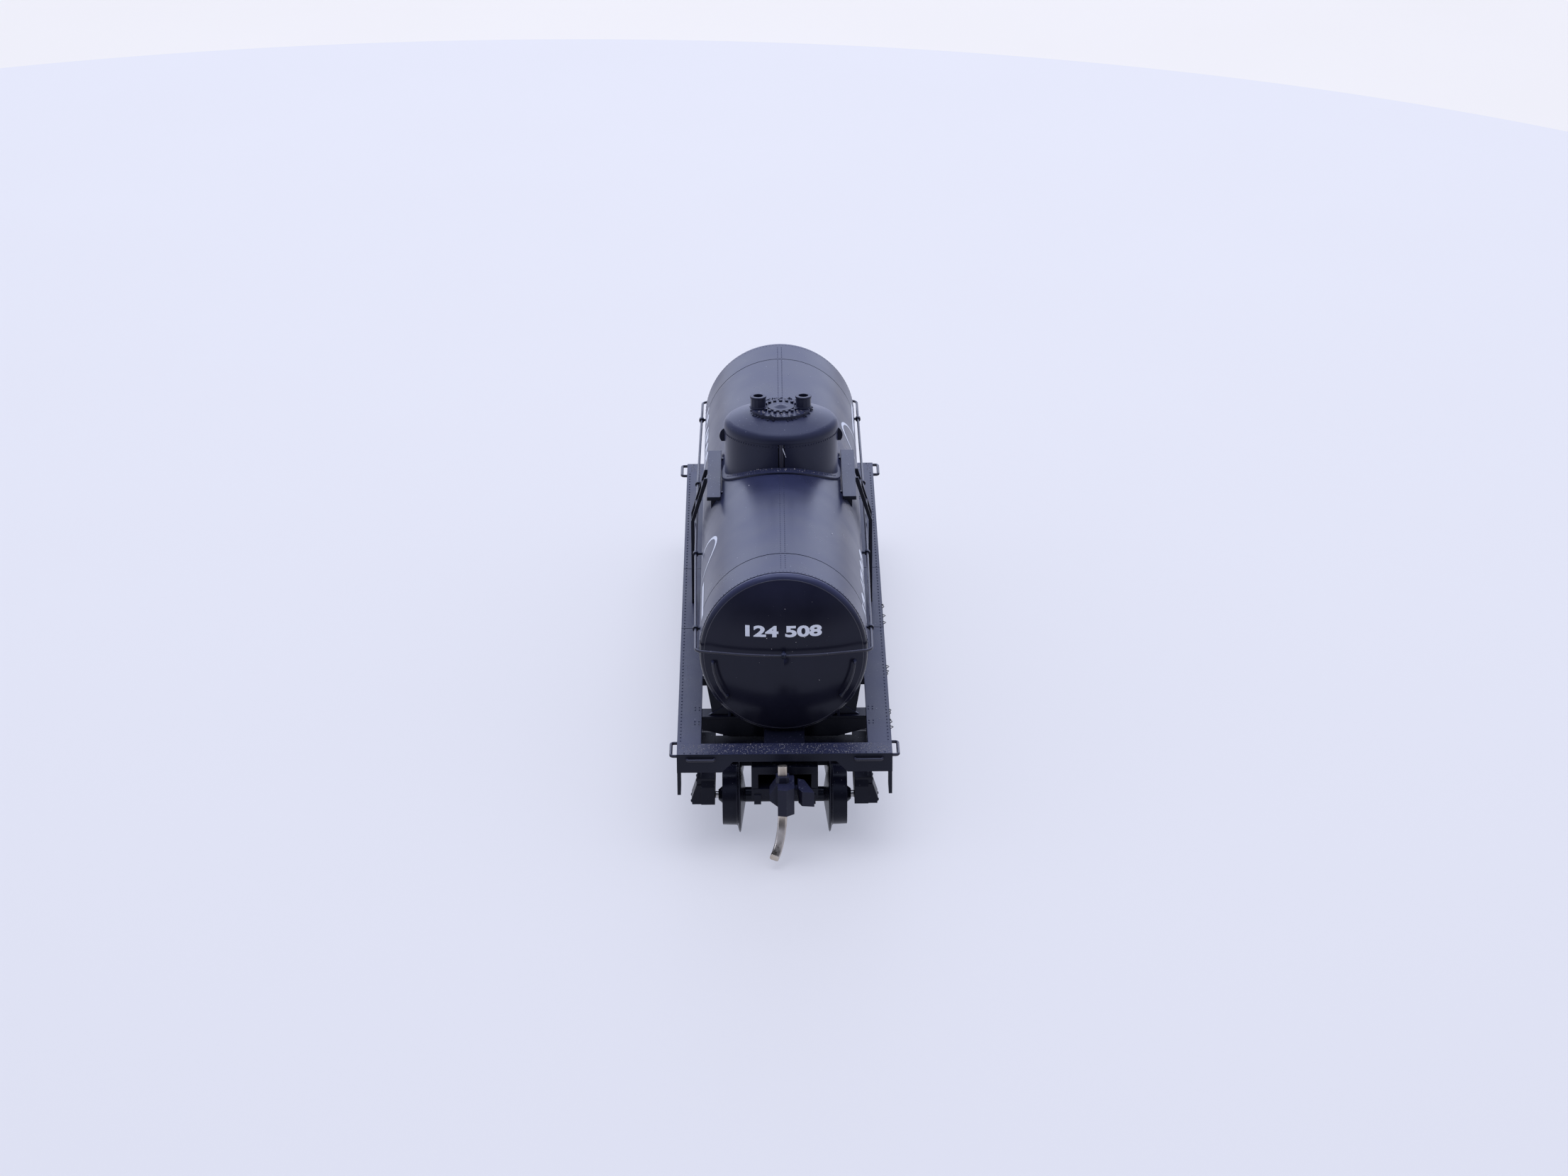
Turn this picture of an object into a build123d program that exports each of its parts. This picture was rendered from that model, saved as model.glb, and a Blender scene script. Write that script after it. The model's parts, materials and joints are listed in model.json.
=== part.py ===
from build123d import *
import os
from math import atan, cos, pi, radians, sin

# A 1:160 single-dome tank wagon on 9 mm gauge track, in millimetres.
# +X runs along the track to the front coupler, +Y is the wagon's left side, +Z is up.
# The origin is under the wagon's middle, at the bottom of the wheel flanges.
# Both ends are alike: the rear pieces are the front ones turned half round about Z.

# Underframe
FRAME_LENGTH = 74.3
FRAME_WIDTH = 18.54
DECK_Z = 8.53
DECK_THICKNESS = 0.4
DECK_INNER_Y = 7.2
SILL_WEB = 0.4
SILL_BOTTOM_Z = 6.84
END_PLATE_LENGTH = 2.4
CENTRE_SILL_WIDTH = 3.5
CENTRE_SILL_TOP_Z = 8.3
CENTRE_SILL_SHALLOW_Z = 7.35
CENTRE_SILL_DEEP_Z = 6.5
BOLSTER_TOP_Z = 8.45
BOLSTER_BOTTOM_Z = 6.5

# Tank
TANK_R = 7.31
TANK_Z = 15.69
SHELL_LENGTH = 62.5
SHELL_WALL = 0.8
SEAM_X = 26.7
SEAM_WIDTH = 0.12
SEAM_DEPTH = 0.06
HEAD_R = 7.27
HEAD_FLANGE = 0.2
HEAD_KNUCKLE = 0.65
HEAD_RISE = 2.05

# Dome and its fittings
DOME_R = 5.2
DOME_WALL = 0.6
DOME_RIM_Z = 25.4
LID_R = 5.27
LID_KNUCKLE = 0.8
LID_RISE = 1.62
PAD_R = 2.7
PAD_Z = 27.2
VALVE_Y = 2.07
VALVE_TOP_Z = 28.36

# Walkways and rails
PLATFORM_LENGTH = 12.7
PLATFORM_Z = 20.8
PLATFORM_INNER_Y = 5.75
PLATFORM_OUTER_Y = 6.8
LADDER_BEND_Z = 16.5
LADDER_FOOT_Y = 8.22
LADDER_STILE_X = 1.2
RAIL_Z = 16.45
RAIL_R = 0.12
RAIL_CORNER_X = 33.0
RAIL_CORNER_Y = 7.6
RAIL_APEX_X = 34.8
RAIL_LEVEL_X = 9.0
RAIL_LEFT_Y = 7.72
RAIL_RIGHT_Y = -7.84
STANCHION_X = (-27.7, -9.3, 9.3, 27.7)

# Trucks and wheels
TRUCK_X = 28.5
WHEELBASE = 10.48
FLANGE_R = 3.3
TREAD_R = 2.62
AXLE_Z = FLANGE_R
AXLE_R = 0.3
SLEEVE_R = 0.65
WHEEL_BACK_Y = 3.4
WHEEL_FACE_Y = 5.4
HUB_TIP_Y = 5.75
AXLE_SHOULDER_Y = 6.0
FRAME_INNER_Y = 6.05
NEEDLE_TIP_Y = 6.6
BEARING_TIP_Y = 6.72
KINGPIN_R = 0.6
TRUCK_BOLSTER_HALF = 1.3

# Coupler and its box
BOX_FRONT_X = 36.9
BOX_REAR_X = 31.2
BOX_HALF_WIDTH = 2.87
BOX_TOP_Z = 7.2
BOX_SPLIT_Z = 5.2
COVER_TOP_Z = 5.16
COVER_BOTTOM_Z = 4.2
CAVITY_HALF_WIDTH = 2.28
CAVITY_TOP_Z = 6.51
PIVOT_X = 34.2
POST_R = 0.6
EYE_R = 1.1
FIT = 0.06
SHANK_HALF_WIDTH = 0.75
LOWER_SHANK_Z = (5.24, 5.80)
UPPER_SHANK_Z = (5.86, 6.44)
PIN_X = 39.35
PIN_Y = -0.2
PIN_TOP_Z = 8.37
PIN_WIDTH = 0.78
PIN_THICKNESS = 0.5

HALF_LENGTH = FRAME_LENGTH / 2
HALF_WIDTH = FRAME_WIDTH / 2
SHELL_END_X = SHELL_LENGTH / 2
HEAD_TIP_X = SHELL_END_X + HEAD_FLANGE + HEAD_RISE
PLATE_SEAM_X = HALF_LENGTH - END_PLATE_LENGTH
WEB_INNER_Y = HALF_WIDTH - SILL_WEB
DECK_BOTTOM_Z = DECK_Z - DECK_THICKNESS
SILL_HALF = CENTRE_SILL_WIDTH / 2
TANK_AXIS = Axis((0, 0, TANK_Z), (1, 0, 0))

os.makedirs("parts", exist_ok=True)


def save(piece, label):
    """Label a finished piece and write its STEP file."""
    piece.part.label = label
    export_step(piece.part, f"parts/{label}.step")


def turned_round(piece):
    """A copy of a piece turned half round, for the other end of the wagon."""
    with BuildPart() as copy:
        add(piece.part, rotation=(0, 0, 180))
    return copy


def save_both_ends(piece, label):
    """Write a front piece, and its copy for the rear end."""
    save(piece, f"front_{label}")
    save(turned_round(piece), f"rear_{label}")


def save_both_sides(piece, label):
    """Write a left piece, and its mirror image for the right side."""
    save(piece, f"left_{label}")
    with BuildPart() as right:
        add(piece.part.mirror(Plane.XZ))
    save(right, f"right_{label}")


def block(x, y, z, mode=Mode.ADD):
    """A box that fills three ranges, in the part being built."""
    with BuildSketch(Plane.XY.offset(z[0])) as base:
        with Locations(((x[0] + x[1]) / 2, (y[0] + y[1]) / 2)):
            Rectangle(x[1] - x[0], y[1] - y[0])
    extrude(base.sketch, amount=z[1] - z[0], mode=mode)


def outline(plane, points, depth, both=False, mode=Mode.ADD):
    """A straight-sided outline drawn on a plane and extruded from it."""
    with BuildSketch(plane) as shape:
        with BuildLine():
            Polyline(*points, close=True)
        make_face()
    extrude(shape.sketch, amount=depth, both=both, mode=mode)


def rod(start, end, radius, mode=Mode.ADD):
    """A round bar between two points."""
    path = Vector(*end) - Vector(*start)
    with BuildSketch(Plane(origin=start, z_dir=path)) as section:
        Circle(radius)
    extrude(section.sketch, amount=path.length, mode=mode)


def wire(points, bend_radius, radius):
    """A bent wire through the given points."""
    with BuildLine() as path:
        FilletPolyline(*points, radius=bend_radius)
    with BuildSketch(Plane(origin=points[0], z_dir=Vector(*points[1]) - Vector(*points[0]))) as end:
        Circle(radius)
    sweep(end.sketch, path=path.line)


def turned(axle_x, points, mode=Mode.ADD):
    """A shape turned about an axle: each point is a distance along Y and a radius."""
    centre = (axle_x, 0, AXLE_Z)
    with BuildSketch(Plane(centre, x_dir=(0, 1, 0), z_dir=(1, 0, 0))) as half_section:
        with BuildLine():
            Polyline(*points, close=True)
        make_face()
    revolve(half_section.sketch, axis=Axis(centre, (0, 1, 0)), mode=mode)


def facing_side(y):
    """An upright plane at a distance y to the left; shapes extrude from it to the right."""
    return Plane((0, y, 0), x_dir=(1, 0, 0), z_dir=(0, -1, 0))


def cut_tank():
    """Trim the part being built back to the outside of the tank."""
    rod((-HALF_LENGTH, 0, TANK_Z), (HALF_LENGTH, 0, TANK_Z), TANK_R, mode=Mode.SUBTRACT)


def cut_heads():
    """Trim the part being built back to the outside of both tank heads."""
    add(front_head.part, mode=Mode.SUBTRACT)
    add(front_head.part, rotation=(0, 0, 180), mode=Mode.SUBTRACT)


def dished_profile(radius, knuckle, rise, flange):
    """Half section of a dished end: x is along its axis and y is outward from the axis."""
    centre_r = radius - knuckle
    crown = (rise**2 - knuckle**2 + centre_r**2) / (2 * (rise - knuckle))
    outward = Vector(crown - rise, centre_r).normalized()
    joint = (flange + knuckle * outward.X, centre_r + knuckle * outward.Y)
    with BuildLine() as section:
        Polyline((flange + rise, 0), (0, 0), (0, radius), (flange, radius))
        TangentArc((flange, radius), joint, tangent=(1, 0))
        TangentArc(joint, (flange + rise, 0), tangent=(outward.Y, -outward.X))
    make_face(section.edges())


# --- tank ---------------------------------------------------------------------------------

with BuildPart() as tank_shell:
    with BuildSketch(Plane.YZ.offset(-SHELL_END_X)):
        with Locations((0, TANK_Z)):
            Circle(TANK_R)
            Circle(TANK_R - SHELL_WALL, mode=Mode.SUBTRACT)
    extrude(amount=SHELL_LENGTH)
    for seam_x in (-SEAM_X, SEAM_X):
        with BuildSketch(Plane.YZ.offset(seam_x - SEAM_WIDTH / 2)):
            with Locations((0, TANK_Z)):
                Circle(TANK_R + SEAM_DEPTH)
                Circle(TANK_R - SEAM_DEPTH, mode=Mode.SUBTRACT)
        extrude(amount=SEAM_WIDTH, mode=Mode.SUBTRACT)
save(tank_shell, "tank_shell")

SPIGOT_LENGTH = 1.2
SPIGOT_R = TANK_R - SHELL_WALL - 0.02
SPIGOT_WALL = 0.7
with BuildPart() as front_head:
    with BuildSketch(Plane((SHELL_END_X, 0, TANK_Z), x_dir=(1, 0, 0), z_dir=(0, -1, 0))):
        dished_profile(HEAD_R, HEAD_KNUCKLE, HEAD_RISE, HEAD_FLANGE)
    revolve(axis=TANK_AXIS)
    rod((SHELL_END_X - SPIGOT_LENGTH, 0, TANK_Z), (SHELL_END_X, 0, TANK_Z), SPIGOT_R)
    rod(
        (SHELL_END_X - SPIGOT_LENGTH, 0, TANK_Z),
        (SHELL_END_X + HEAD_FLANGE, 0, TANK_Z),
        SPIGOT_R - SPIGOT_WALL,
        mode=Mode.SUBTRACT,
    )
save_both_ends(front_head, "tank_head")

BALLAST_LENGTH = 48
BALLAST_TOP_Z = 12.2
with BuildPart() as ballast_weight:
    with BuildSketch(Plane.YZ.offset(-BALLAST_LENGTH / 2)):
        with Locations((0, TANK_Z)):
            Circle(TANK_R - SHELL_WALL - 0.05)
        with Locations((0, BALLAST_TOP_Z + TANK_R)):
            Rectangle(2 * TANK_R, 2 * TANK_R, mode=Mode.SUBTRACT)
    extrude(amount=BALLAST_LENGTH)
save(ballast_weight, "ballast_weight")

# --- dome ---------------------------------------------------------------------------------

BASE_PLATE = 0.18
BASE_PLATE_X_RADIUS = 6.4
BASE_PLATE_Y_RADIUS = 5.5
LAP_WIDTH = 0.38
LAP_THICKNESS = 0.08
with BuildPart() as dome_shell:
    with BuildSketch(Plane.XY.offset(TANK_Z)):
        Ellipse(BASE_PLATE_X_RADIUS, BASE_PLATE_Y_RADIUS)
    extrude(amount=2 * TANK_R)
    with BuildSketch(Plane.YZ):
        with Locations((0, TANK_Z)):
            Circle(TANK_R + BASE_PLATE)
    extrude(amount=TANK_R, both=True, mode=Mode.INTERSECT)
    with BuildSketch(Plane.XY.offset(TANK_Z)):
        Circle(DOME_R)
        with Locations((DOME_R, 0)):
            Rectangle(2 * LAP_THICKNESS, LAP_WIDTH)
    extrude(amount=DOME_RIM_Z - TANK_Z)
    with BuildSketch(Plane.XY.offset(TANK_Z)):
        Circle(DOME_R - DOME_WALL)
    extrude(amount=DOME_RIM_Z - TANK_Z, mode=Mode.SUBTRACT)
    cut_tank()
save(dome_shell, "dome_shell")

LID_FLANGE = 0.15
LID_SPIGOT = 0.6
LID_SPIGOT_R = DOME_R - DOME_WALL - 0.02
LID_HOLLOW_R = LID_SPIGOT_R - 0.5
with BuildPart() as dome_lid:
    with BuildSketch(Plane((0, 0, DOME_RIM_Z), x_dir=(0, 0, 1), z_dir=(0, 1, 0))):
        dished_profile(LID_R, LID_KNUCKLE, LID_RISE, LID_FLANGE)
    revolve(axis=Axis.Z)
    rod((0, 0, DOME_RIM_Z + LID_RISE / 2), (0, 0, PAD_Z), PAD_R)
    rod((0, 0, DOME_RIM_Z - LID_SPIGOT), (0, 0, DOME_RIM_Z), LID_SPIGOT_R)
    rod(
        (0, 0, DOME_RIM_Z - LID_SPIGOT),
        (0, 0, DOME_RIM_Z + LID_FLANGE),
        LID_HOLLOW_R,
        mode=Mode.SUBTRACT,
    )
save(dome_lid, "dome_lid")

COVER_R = 1.2
COVER_THICKNESS = 0.12
COVER_CONE = 0.17
BOLT_CIRCLE_R = 1.6
BOLT_R = 0.15
BOLT_HEIGHT = 0.2
with BuildPart() as manhole_cover:
    rod((0, 0, PAD_Z), (0, 0, PAD_Z + COVER_THICKNESS), COVER_R)
    with Locations((0, 0, PAD_Z + COVER_THICKNESS + COVER_CONE / 2)):
        Cone(COVER_R * 0.55, COVER_R * 0.12, COVER_CONE)
save(manhole_cover, "manhole_cover")

# The bolts leave out the two places where the valves stand.
with BuildPart() as manhole_bolts:
    for angle in range(0, 360, 20):
        if abs(sin(radians(angle))) < 0.88:
            with Locations(
                (BOLT_CIRCLE_R * cos(radians(angle)), BOLT_CIRCLE_R * sin(radians(angle)), PAD_Z)
            ):
                Cylinder(BOLT_R, BOLT_HEIGHT, align=(Align.CENTER, Align.CENTER, Align.MIN))
save(manhole_bolts, "manhole_bolts")

VALVE_R = 0.7
VALVE_LIP_R = 0.76
VALVE_LIP_HEIGHT = 0.16
VALVE_SIDES = 12
VALVE_BORE_R = 0.45
VALVE_BORE_DEPTH = 0.7
VALVE_BASE_HEIGHT = 0.15
with BuildPart() as safety_valves:
    for valve_y in (-VALVE_Y, VALVE_Y):
        rod((0, valve_y, PAD_Z), (0, valve_y, PAD_Z + VALVE_BASE_HEIGHT), VALVE_LIP_R)
        rod((0, valve_y, VALVE_TOP_Z - VALVE_LIP_HEIGHT), (0, valve_y, VALVE_TOP_Z), VALVE_LIP_R)
    with BuildSketch(Plane.XY.offset(PAD_Z + VALVE_BASE_HEIGHT)):
        with Locations((0, -VALVE_Y), (0, VALVE_Y)):
            RegularPolygon(VALVE_R, VALVE_SIDES)
    extrude(amount=VALVE_TOP_Z - PAD_Z - VALVE_BASE_HEIGHT)
    with BuildSketch(Plane.XY.offset(VALVE_TOP_Z - VALVE_BORE_DEPTH)):
        with Locations((0, -VALVE_Y), (0, VALVE_Y)):
            Circle(VALVE_BORE_R)
    extrude(amount=VALVE_BORE_DEPTH, mode=Mode.SUBTRACT)
save(safety_valves, "safety_valves")

LUG_HALF_WIDTH = 0.32
LUG_BOTTOM_Z = 24.1
LUG_REACH = 0.45
with BuildPart() as lifting_lugs:
    for side in (-1, 1):
        with BuildSketch(Plane.YZ.offset(-LUG_HALF_WIDTH)):
            with BuildLine():
                Polyline(
                    (side * (DOME_R + LUG_REACH * 0.6), LUG_BOTTOM_Z),
                    (side * (DOME_R - 0.2), LUG_BOTTOM_Z),
                    (side * (DOME_R - 0.2), DOME_RIM_Z - 0.05),
                    (side * DOME_R, DOME_RIM_Z - 0.05),
                )
                ThreePointArc(
                    (side * DOME_R, DOME_RIM_Z - 0.05),
                    (side * (DOME_R + LUG_REACH), (DOME_RIM_Z + LUG_BOTTOM_Z) / 2 - 0.1),
                    (side * (DOME_R + LUG_REACH * 0.6), LUG_BOTTOM_Z),
                )
            make_face()
        extrude(amount=2 * LUG_HALF_WIDTH)
    rod((0, 0, TANK_Z), (0, 0, DOME_RIM_Z), DOME_R, mode=Mode.SUBTRACT)
save(lifting_lugs, "lifting_lugs")

# --- handrail -----------------------------------------------------------------------------


def rail_y(x, side):
    """Centre line of the rail along one side, at a distance x from the middle."""
    level_y = RAIL_LEFT_Y if side > 0 else RAIL_RIGHT_Y
    corner_y = side * RAIL_CORNER_Y
    run = max(0, abs(x) - RAIL_LEVEL_X) / (RAIL_CORNER_X - RAIL_LEVEL_X)
    return level_y + run * (corner_y - level_y)


SIDE_BEND_R = 60
END_BEND_R = 18
CORNER_BEND_R = 0.7
END_SLOPE = atan((RAIL_APEX_X - RAIL_CORNER_X) / RAIL_CORNER_Y)
RAIL_END_X = RAIL_APEX_X - END_BEND_R * (1 / cos(END_SLOPE) - 1)
with BuildPart() as handrail_wire:
    with BuildLine(Plane.XY.offset(RAIL_Z)) as half_loop:
        FilletPolyline(
            (0, RAIL_RIGHT_Y),
            (RAIL_LEVEL_X, RAIL_RIGHT_Y),
            (RAIL_CORNER_X, -RAIL_CORNER_Y),
            (RAIL_APEX_X, 0),
            (RAIL_CORNER_X, RAIL_CORNER_Y),
            (RAIL_LEVEL_X, RAIL_LEFT_Y),
            (0, RAIL_LEFT_Y),
            radius=[SIDE_BEND_R, CORNER_BEND_R, END_BEND_R, CORNER_BEND_R, SIDE_BEND_R],
        )
    with BuildSketch(Plane((0, RAIL_RIGHT_Y, RAIL_Z), x_dir=(0, 1, 0), z_dir=(1, 0, 0))):
        Circle(RAIL_R)
    sweep(path=half_loop.line)
    mirror(about=Plane.YZ)
save(handrail_wire, "handrail_wire")

EYE_HALF = 0.2
EYE_OUTER_R = 0.25
STANCHION_R = 0.12
ROOT_DEPTH = 0.3
with BuildPart() as handrail_stanchions:
    for side in (-1, 1):
        for x in STANCHION_X:
            y = rail_y(x, side)
            rod((x - EYE_HALF, y, RAIL_Z), (x + EYE_HALF, y, RAIL_Z), EYE_OUTER_R)
            rod((x, side * (TANK_R - ROOT_DEPTH), RAIL_Z), (x, y, RAIL_Z), STANCHION_R)
    cut_tank()
    for end in (-1, 1):
        x = end * RAIL_END_X
        rod((x, -EYE_HALF, RAIL_Z), (x, EYE_HALF, RAIL_Z), EYE_OUTER_R)
        rod((end * (HEAD_TIP_X - ROOT_DEPTH), 0, RAIL_Z), (x, 0, RAIL_Z), STANCHION_R)
    cut_heads()
    add(handrail_wire.part, mode=Mode.SUBTRACT)
save(handrail_stanchions, "handrail_stanchions")

# Short wire handholds low on both heads, following the curve of the tank.
HANDHOLD_ARC_R = 6.15
HANDHOLD_X = 32.85
HANDHOLD_WIRE_R = 0.11
HANDHOLD_BEND_R = 0.15
HANDHOLD_ANGLES = (-5, -13, -21, -29, -37)
with BuildPart() as head_handholds:
    for side in (-1, 1):
        for end in (-1, 1):
            arc = [
                (
                    end * HANDHOLD_X,
                    side * HANDHOLD_ARC_R * cos(radians(angle)),
                    TANK_Z + HANDHOLD_ARC_R * sin(radians(angle)),
                )
                for angle in HANDHOLD_ANGLES
            ]
            first_foot = (end * SHELL_END_X, arc[0][1], arc[0][2])
            last_foot = (end * SHELL_END_X, arc[-1][1], arc[-1][2])
            wire([first_foot, *arc, last_foot], HANDHOLD_BEND_R, HANDHOLD_WIRE_R)
    cut_heads()
save(head_handholds, "head_handholds")

# --- walkways and ladders -----------------------------------------------------------------

PLATFORM_THICKNESS = 0.33
BRACKET_X = (-4.6, 4.6)
BRACKET_THICKNESS = 0.3
BRACKET_TIP_Y = 5.2
BRACKET_OUTER_Y = 6.45
BRACKET_BOTTOM_Z = 19.0
GROOVE_Y = (6.5, 6.58)
GROOVE_DEPTH = 0.07
PLATFORM_BOTTOM_Z = PLATFORM_Z - PLATFORM_THICKNESS
with BuildPart() as platform:
    block(
        (-PLATFORM_LENGTH / 2, PLATFORM_LENGTH / 2),
        (PLATFORM_INNER_Y, PLATFORM_OUTER_Y),
        (PLATFORM_BOTTOM_Z, PLATFORM_Z),
    )
    for x in BRACKET_X:
        outline(
            Plane.YZ.offset(x - BRACKET_THICKNESS / 2),
            [
                (BRACKET_TIP_Y, PLATFORM_Z - 0.1),
                (BRACKET_TIP_Y, PLATFORM_BOTTOM_Z - 0.5),
                (BRACKET_TIP_Y, BRACKET_BOTTOM_Z),
                (BRACKET_OUTER_Y, BRACKET_BOTTOM_Z),
                (BRACKET_OUTER_Y, PLATFORM_BOTTOM_Z),
                (PLATFORM_INNER_Y, PLATFORM_Z - 0.1),
            ],
            BRACKET_THICKNESS,
        )
    block(
        (-PLATFORM_LENGTH / 2, PLATFORM_LENGTH / 2),
        GROOVE_Y,
        (PLATFORM_Z - GROOVE_DEPTH, PLATFORM_Z),
        mode=Mode.SUBTRACT,
    )
    cut_tank()
save_both_sides(platform, "platform")

STILE_WIDTH = 0.25
STILE_DEPTH = 0.28
RUNG_R = 0.12
LOWEST_RUNG_Z = 10.2
RUNG_PITCH = 1.9
RUNG_COUNT = 6
STILE_INNER_Y = LADDER_FOOT_Y - STILE_DEPTH / 2
STILE_OUTER_Y = LADDER_FOOT_Y + STILE_DEPTH / 2
with BuildPart() as ladder:
    for x in (-LADDER_STILE_X, LADDER_STILE_X):
        outline(
            Plane.YZ.offset(x - STILE_WIDTH / 2),
            [
                (PLATFORM_OUTER_Y, PLATFORM_BOTTOM_Z),
                (PLATFORM_OUTER_Y, PLATFORM_Z),
                (PLATFORM_OUTER_Y + STILE_DEPTH, PLATFORM_Z),
                (STILE_OUTER_Y, LADDER_BEND_Z + 0.1),
                (STILE_OUTER_Y, DECK_Z),
                (STILE_INNER_Y, DECK_Z),
                (STILE_INNER_Y, LADDER_BEND_Z),
            ],
            STILE_WIDTH,
        )
    for rung in range(RUNG_COUNT):
        z = LOWEST_RUNG_Z + rung * RUNG_PITCH
        lean = max(0, z - LADDER_BEND_Z) / (PLATFORM_Z - LADDER_BEND_Z)
        y = LADDER_FOOT_Y - lean * (STILE_INNER_Y - PLATFORM_OUTER_Y)
        rod((-LADDER_STILE_X, y, z), (LADDER_STILE_X, y, z), RUNG_R)
save_both_sides(ladder, "ladder")

# --- underframe ---------------------------------------------------------------------------

CHANNEL_HALF = 1.25
CHANNEL_TOP_Z = 7.9
DEEP_HALF = 17.0
SHALLOW_HALF = 19.0
with BuildPart() as centre_sill:
    outline(
        facing_side(SILL_HALF),
        [
            (-PLATE_SEAM_X, CENTRE_SILL_TOP_Z),
            (-PLATE_SEAM_X, CENTRE_SILL_SHALLOW_Z),
            (-SHALLOW_HALF, CENTRE_SILL_SHALLOW_Z),
            (-DEEP_HALF, CENTRE_SILL_DEEP_Z),
            (DEEP_HALF, CENTRE_SILL_DEEP_Z),
            (SHALLOW_HALF, CENTRE_SILL_SHALLOW_Z),
            (PLATE_SEAM_X, CENTRE_SILL_SHALLOW_Z),
            (PLATE_SEAM_X, CENTRE_SILL_TOP_Z),
        ],
        CENTRE_SILL_WIDTH,
    )
    block(
        (-PLATE_SEAM_X, PLATE_SEAM_X),
        (-CHANNEL_HALF, CHANNEL_HALF),
        (CENTRE_SILL_DEEP_Z, CHANNEL_TOP_Z),
        mode=Mode.SUBTRACT,
    )
save(centre_sill, "centre_sill")

JOINT_X = 7.65
JOINT_WIDTH = 0.08
JOINT_DEPTH = 0.1
with BuildPart() as side_sill:
    block((-PLATE_SEAM_X, PLATE_SEAM_X), (DECK_INNER_Y, HALF_WIDTH), (DECK_BOTTOM_Z, DECK_Z))
    block((-PLATE_SEAM_X, PLATE_SEAM_X), (WEB_INNER_Y, HALF_WIDTH), (SILL_BOTTOM_Z, DECK_Z))
    for x in (-JOINT_X, JOINT_X):
        block(
            (x - JOINT_WIDTH / 2, x + JOINT_WIDTH / 2),
            (DECK_INNER_Y, HALF_WIDTH),
            (DECK_Z - JOINT_DEPTH, DECK_Z),
            mode=Mode.SUBTRACT,
        )
save_both_sides(side_sill, "side_sill")

END_WEB_THICKNESS = 0.5
END_OPENING_Z = 7.83
OPENING_TOP_Y = 4.43
OPENING_FOOT_Y = 5.42
with BuildPart() as end_sill:
    block((PLATE_SEAM_X, HALF_LENGTH), (-HALF_WIDTH, HALF_WIDTH), (DECK_BOTTOM_Z, DECK_Z))
    outline(
        Plane.YZ.offset(HALF_LENGTH - END_WEB_THICKNESS),
        [
            (-HALF_WIDTH, DECK_BOTTOM_Z),
            (-HALF_WIDTH, SILL_BOTTOM_Z),
            (-OPENING_FOOT_Y, SILL_BOTTOM_Z),
            (-OPENING_TOP_Y, END_OPENING_Z),
            (OPENING_TOP_Y, END_OPENING_Z),
            (OPENING_FOOT_Y, SILL_BOTTOM_Z),
            (HALF_WIDTH, SILL_BOTTOM_Z),
            (HALF_WIDTH, DECK_BOTTOM_Z),
        ],
        END_WEB_THICKNESS,
    )
    for side in (-1, 1):
        block(
            (PLATE_SEAM_X, HALF_LENGTH),
            sorted((side * WEB_INNER_Y, side * HALF_WIDTH)),
            (SILL_BOTTOM_Z, DECK_BOTTOM_Z),
        )
save_both_ends(end_sill, "end_sill")

BOLSTER_X = 27.6
BOLSTER_WEB_HALF = 0.8
BOLSTER_PLATE_HALF = 0.95
BOLSTER_PLATE_THICKNESS = 0.25
BOLSTER_TIP_Z = 7.2
BOLSTER_FLAT_Y = 4.7
KINGPIN_TOP_Z = 7.3
CENTRE_PLATE_REACH = 1.1
with BuildPart() as bolster:
    for side in (-1, 1):
        outline(
            Plane.YZ.offset(BOLSTER_X - BOLSTER_WEB_HALF),
            [
                (0, BOLSTER_BOTTOM_Z),
                (side * BOLSTER_FLAT_Y, BOLSTER_BOTTOM_Z),
                (side * DECK_INNER_Y, BOLSTER_TIP_Z),
                (side * WEB_INNER_Y, BOLSTER_TIP_Z),
                (side * WEB_INNER_Y, DECK_BOTTOM_Z),
                (side * DECK_INNER_Y, DECK_BOTTOM_Z),
                (side * DECK_INNER_Y, BOLSTER_TOP_Z),
                (side * SILL_HALF, BOLSTER_TOP_Z),
                (side * SILL_HALF, CENTRE_SILL_SHALLOW_Z),
                (0, CENTRE_SILL_SHALLOW_Z),
            ],
            2 * BOLSTER_WEB_HALF,
        )
        block(
            (BOLSTER_X - BOLSTER_PLATE_HALF, BOLSTER_X + BOLSTER_PLATE_HALF),
            sorted((side * SILL_HALF, side * DECK_INNER_Y)),
            (BOLSTER_TOP_Z - BOLSTER_PLATE_THICKNESS, BOLSTER_TOP_Z),
        )
    block(
        (BOLSTER_X, TRUCK_X + CENTRE_PLATE_REACH),
        (-SILL_HALF, SILL_HALF),
        (BOLSTER_BOTTOM_Z, CENTRE_SILL_SHALLOW_Z),
    )
    rod((TRUCK_X, 0, BOLSTER_BOTTOM_Z), (TRUCK_X, 0, KINGPIN_TOP_Z), KINGPIN_R, mode=Mode.SUBTRACT)
save_both_ends(bolster, "bolster")

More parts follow.
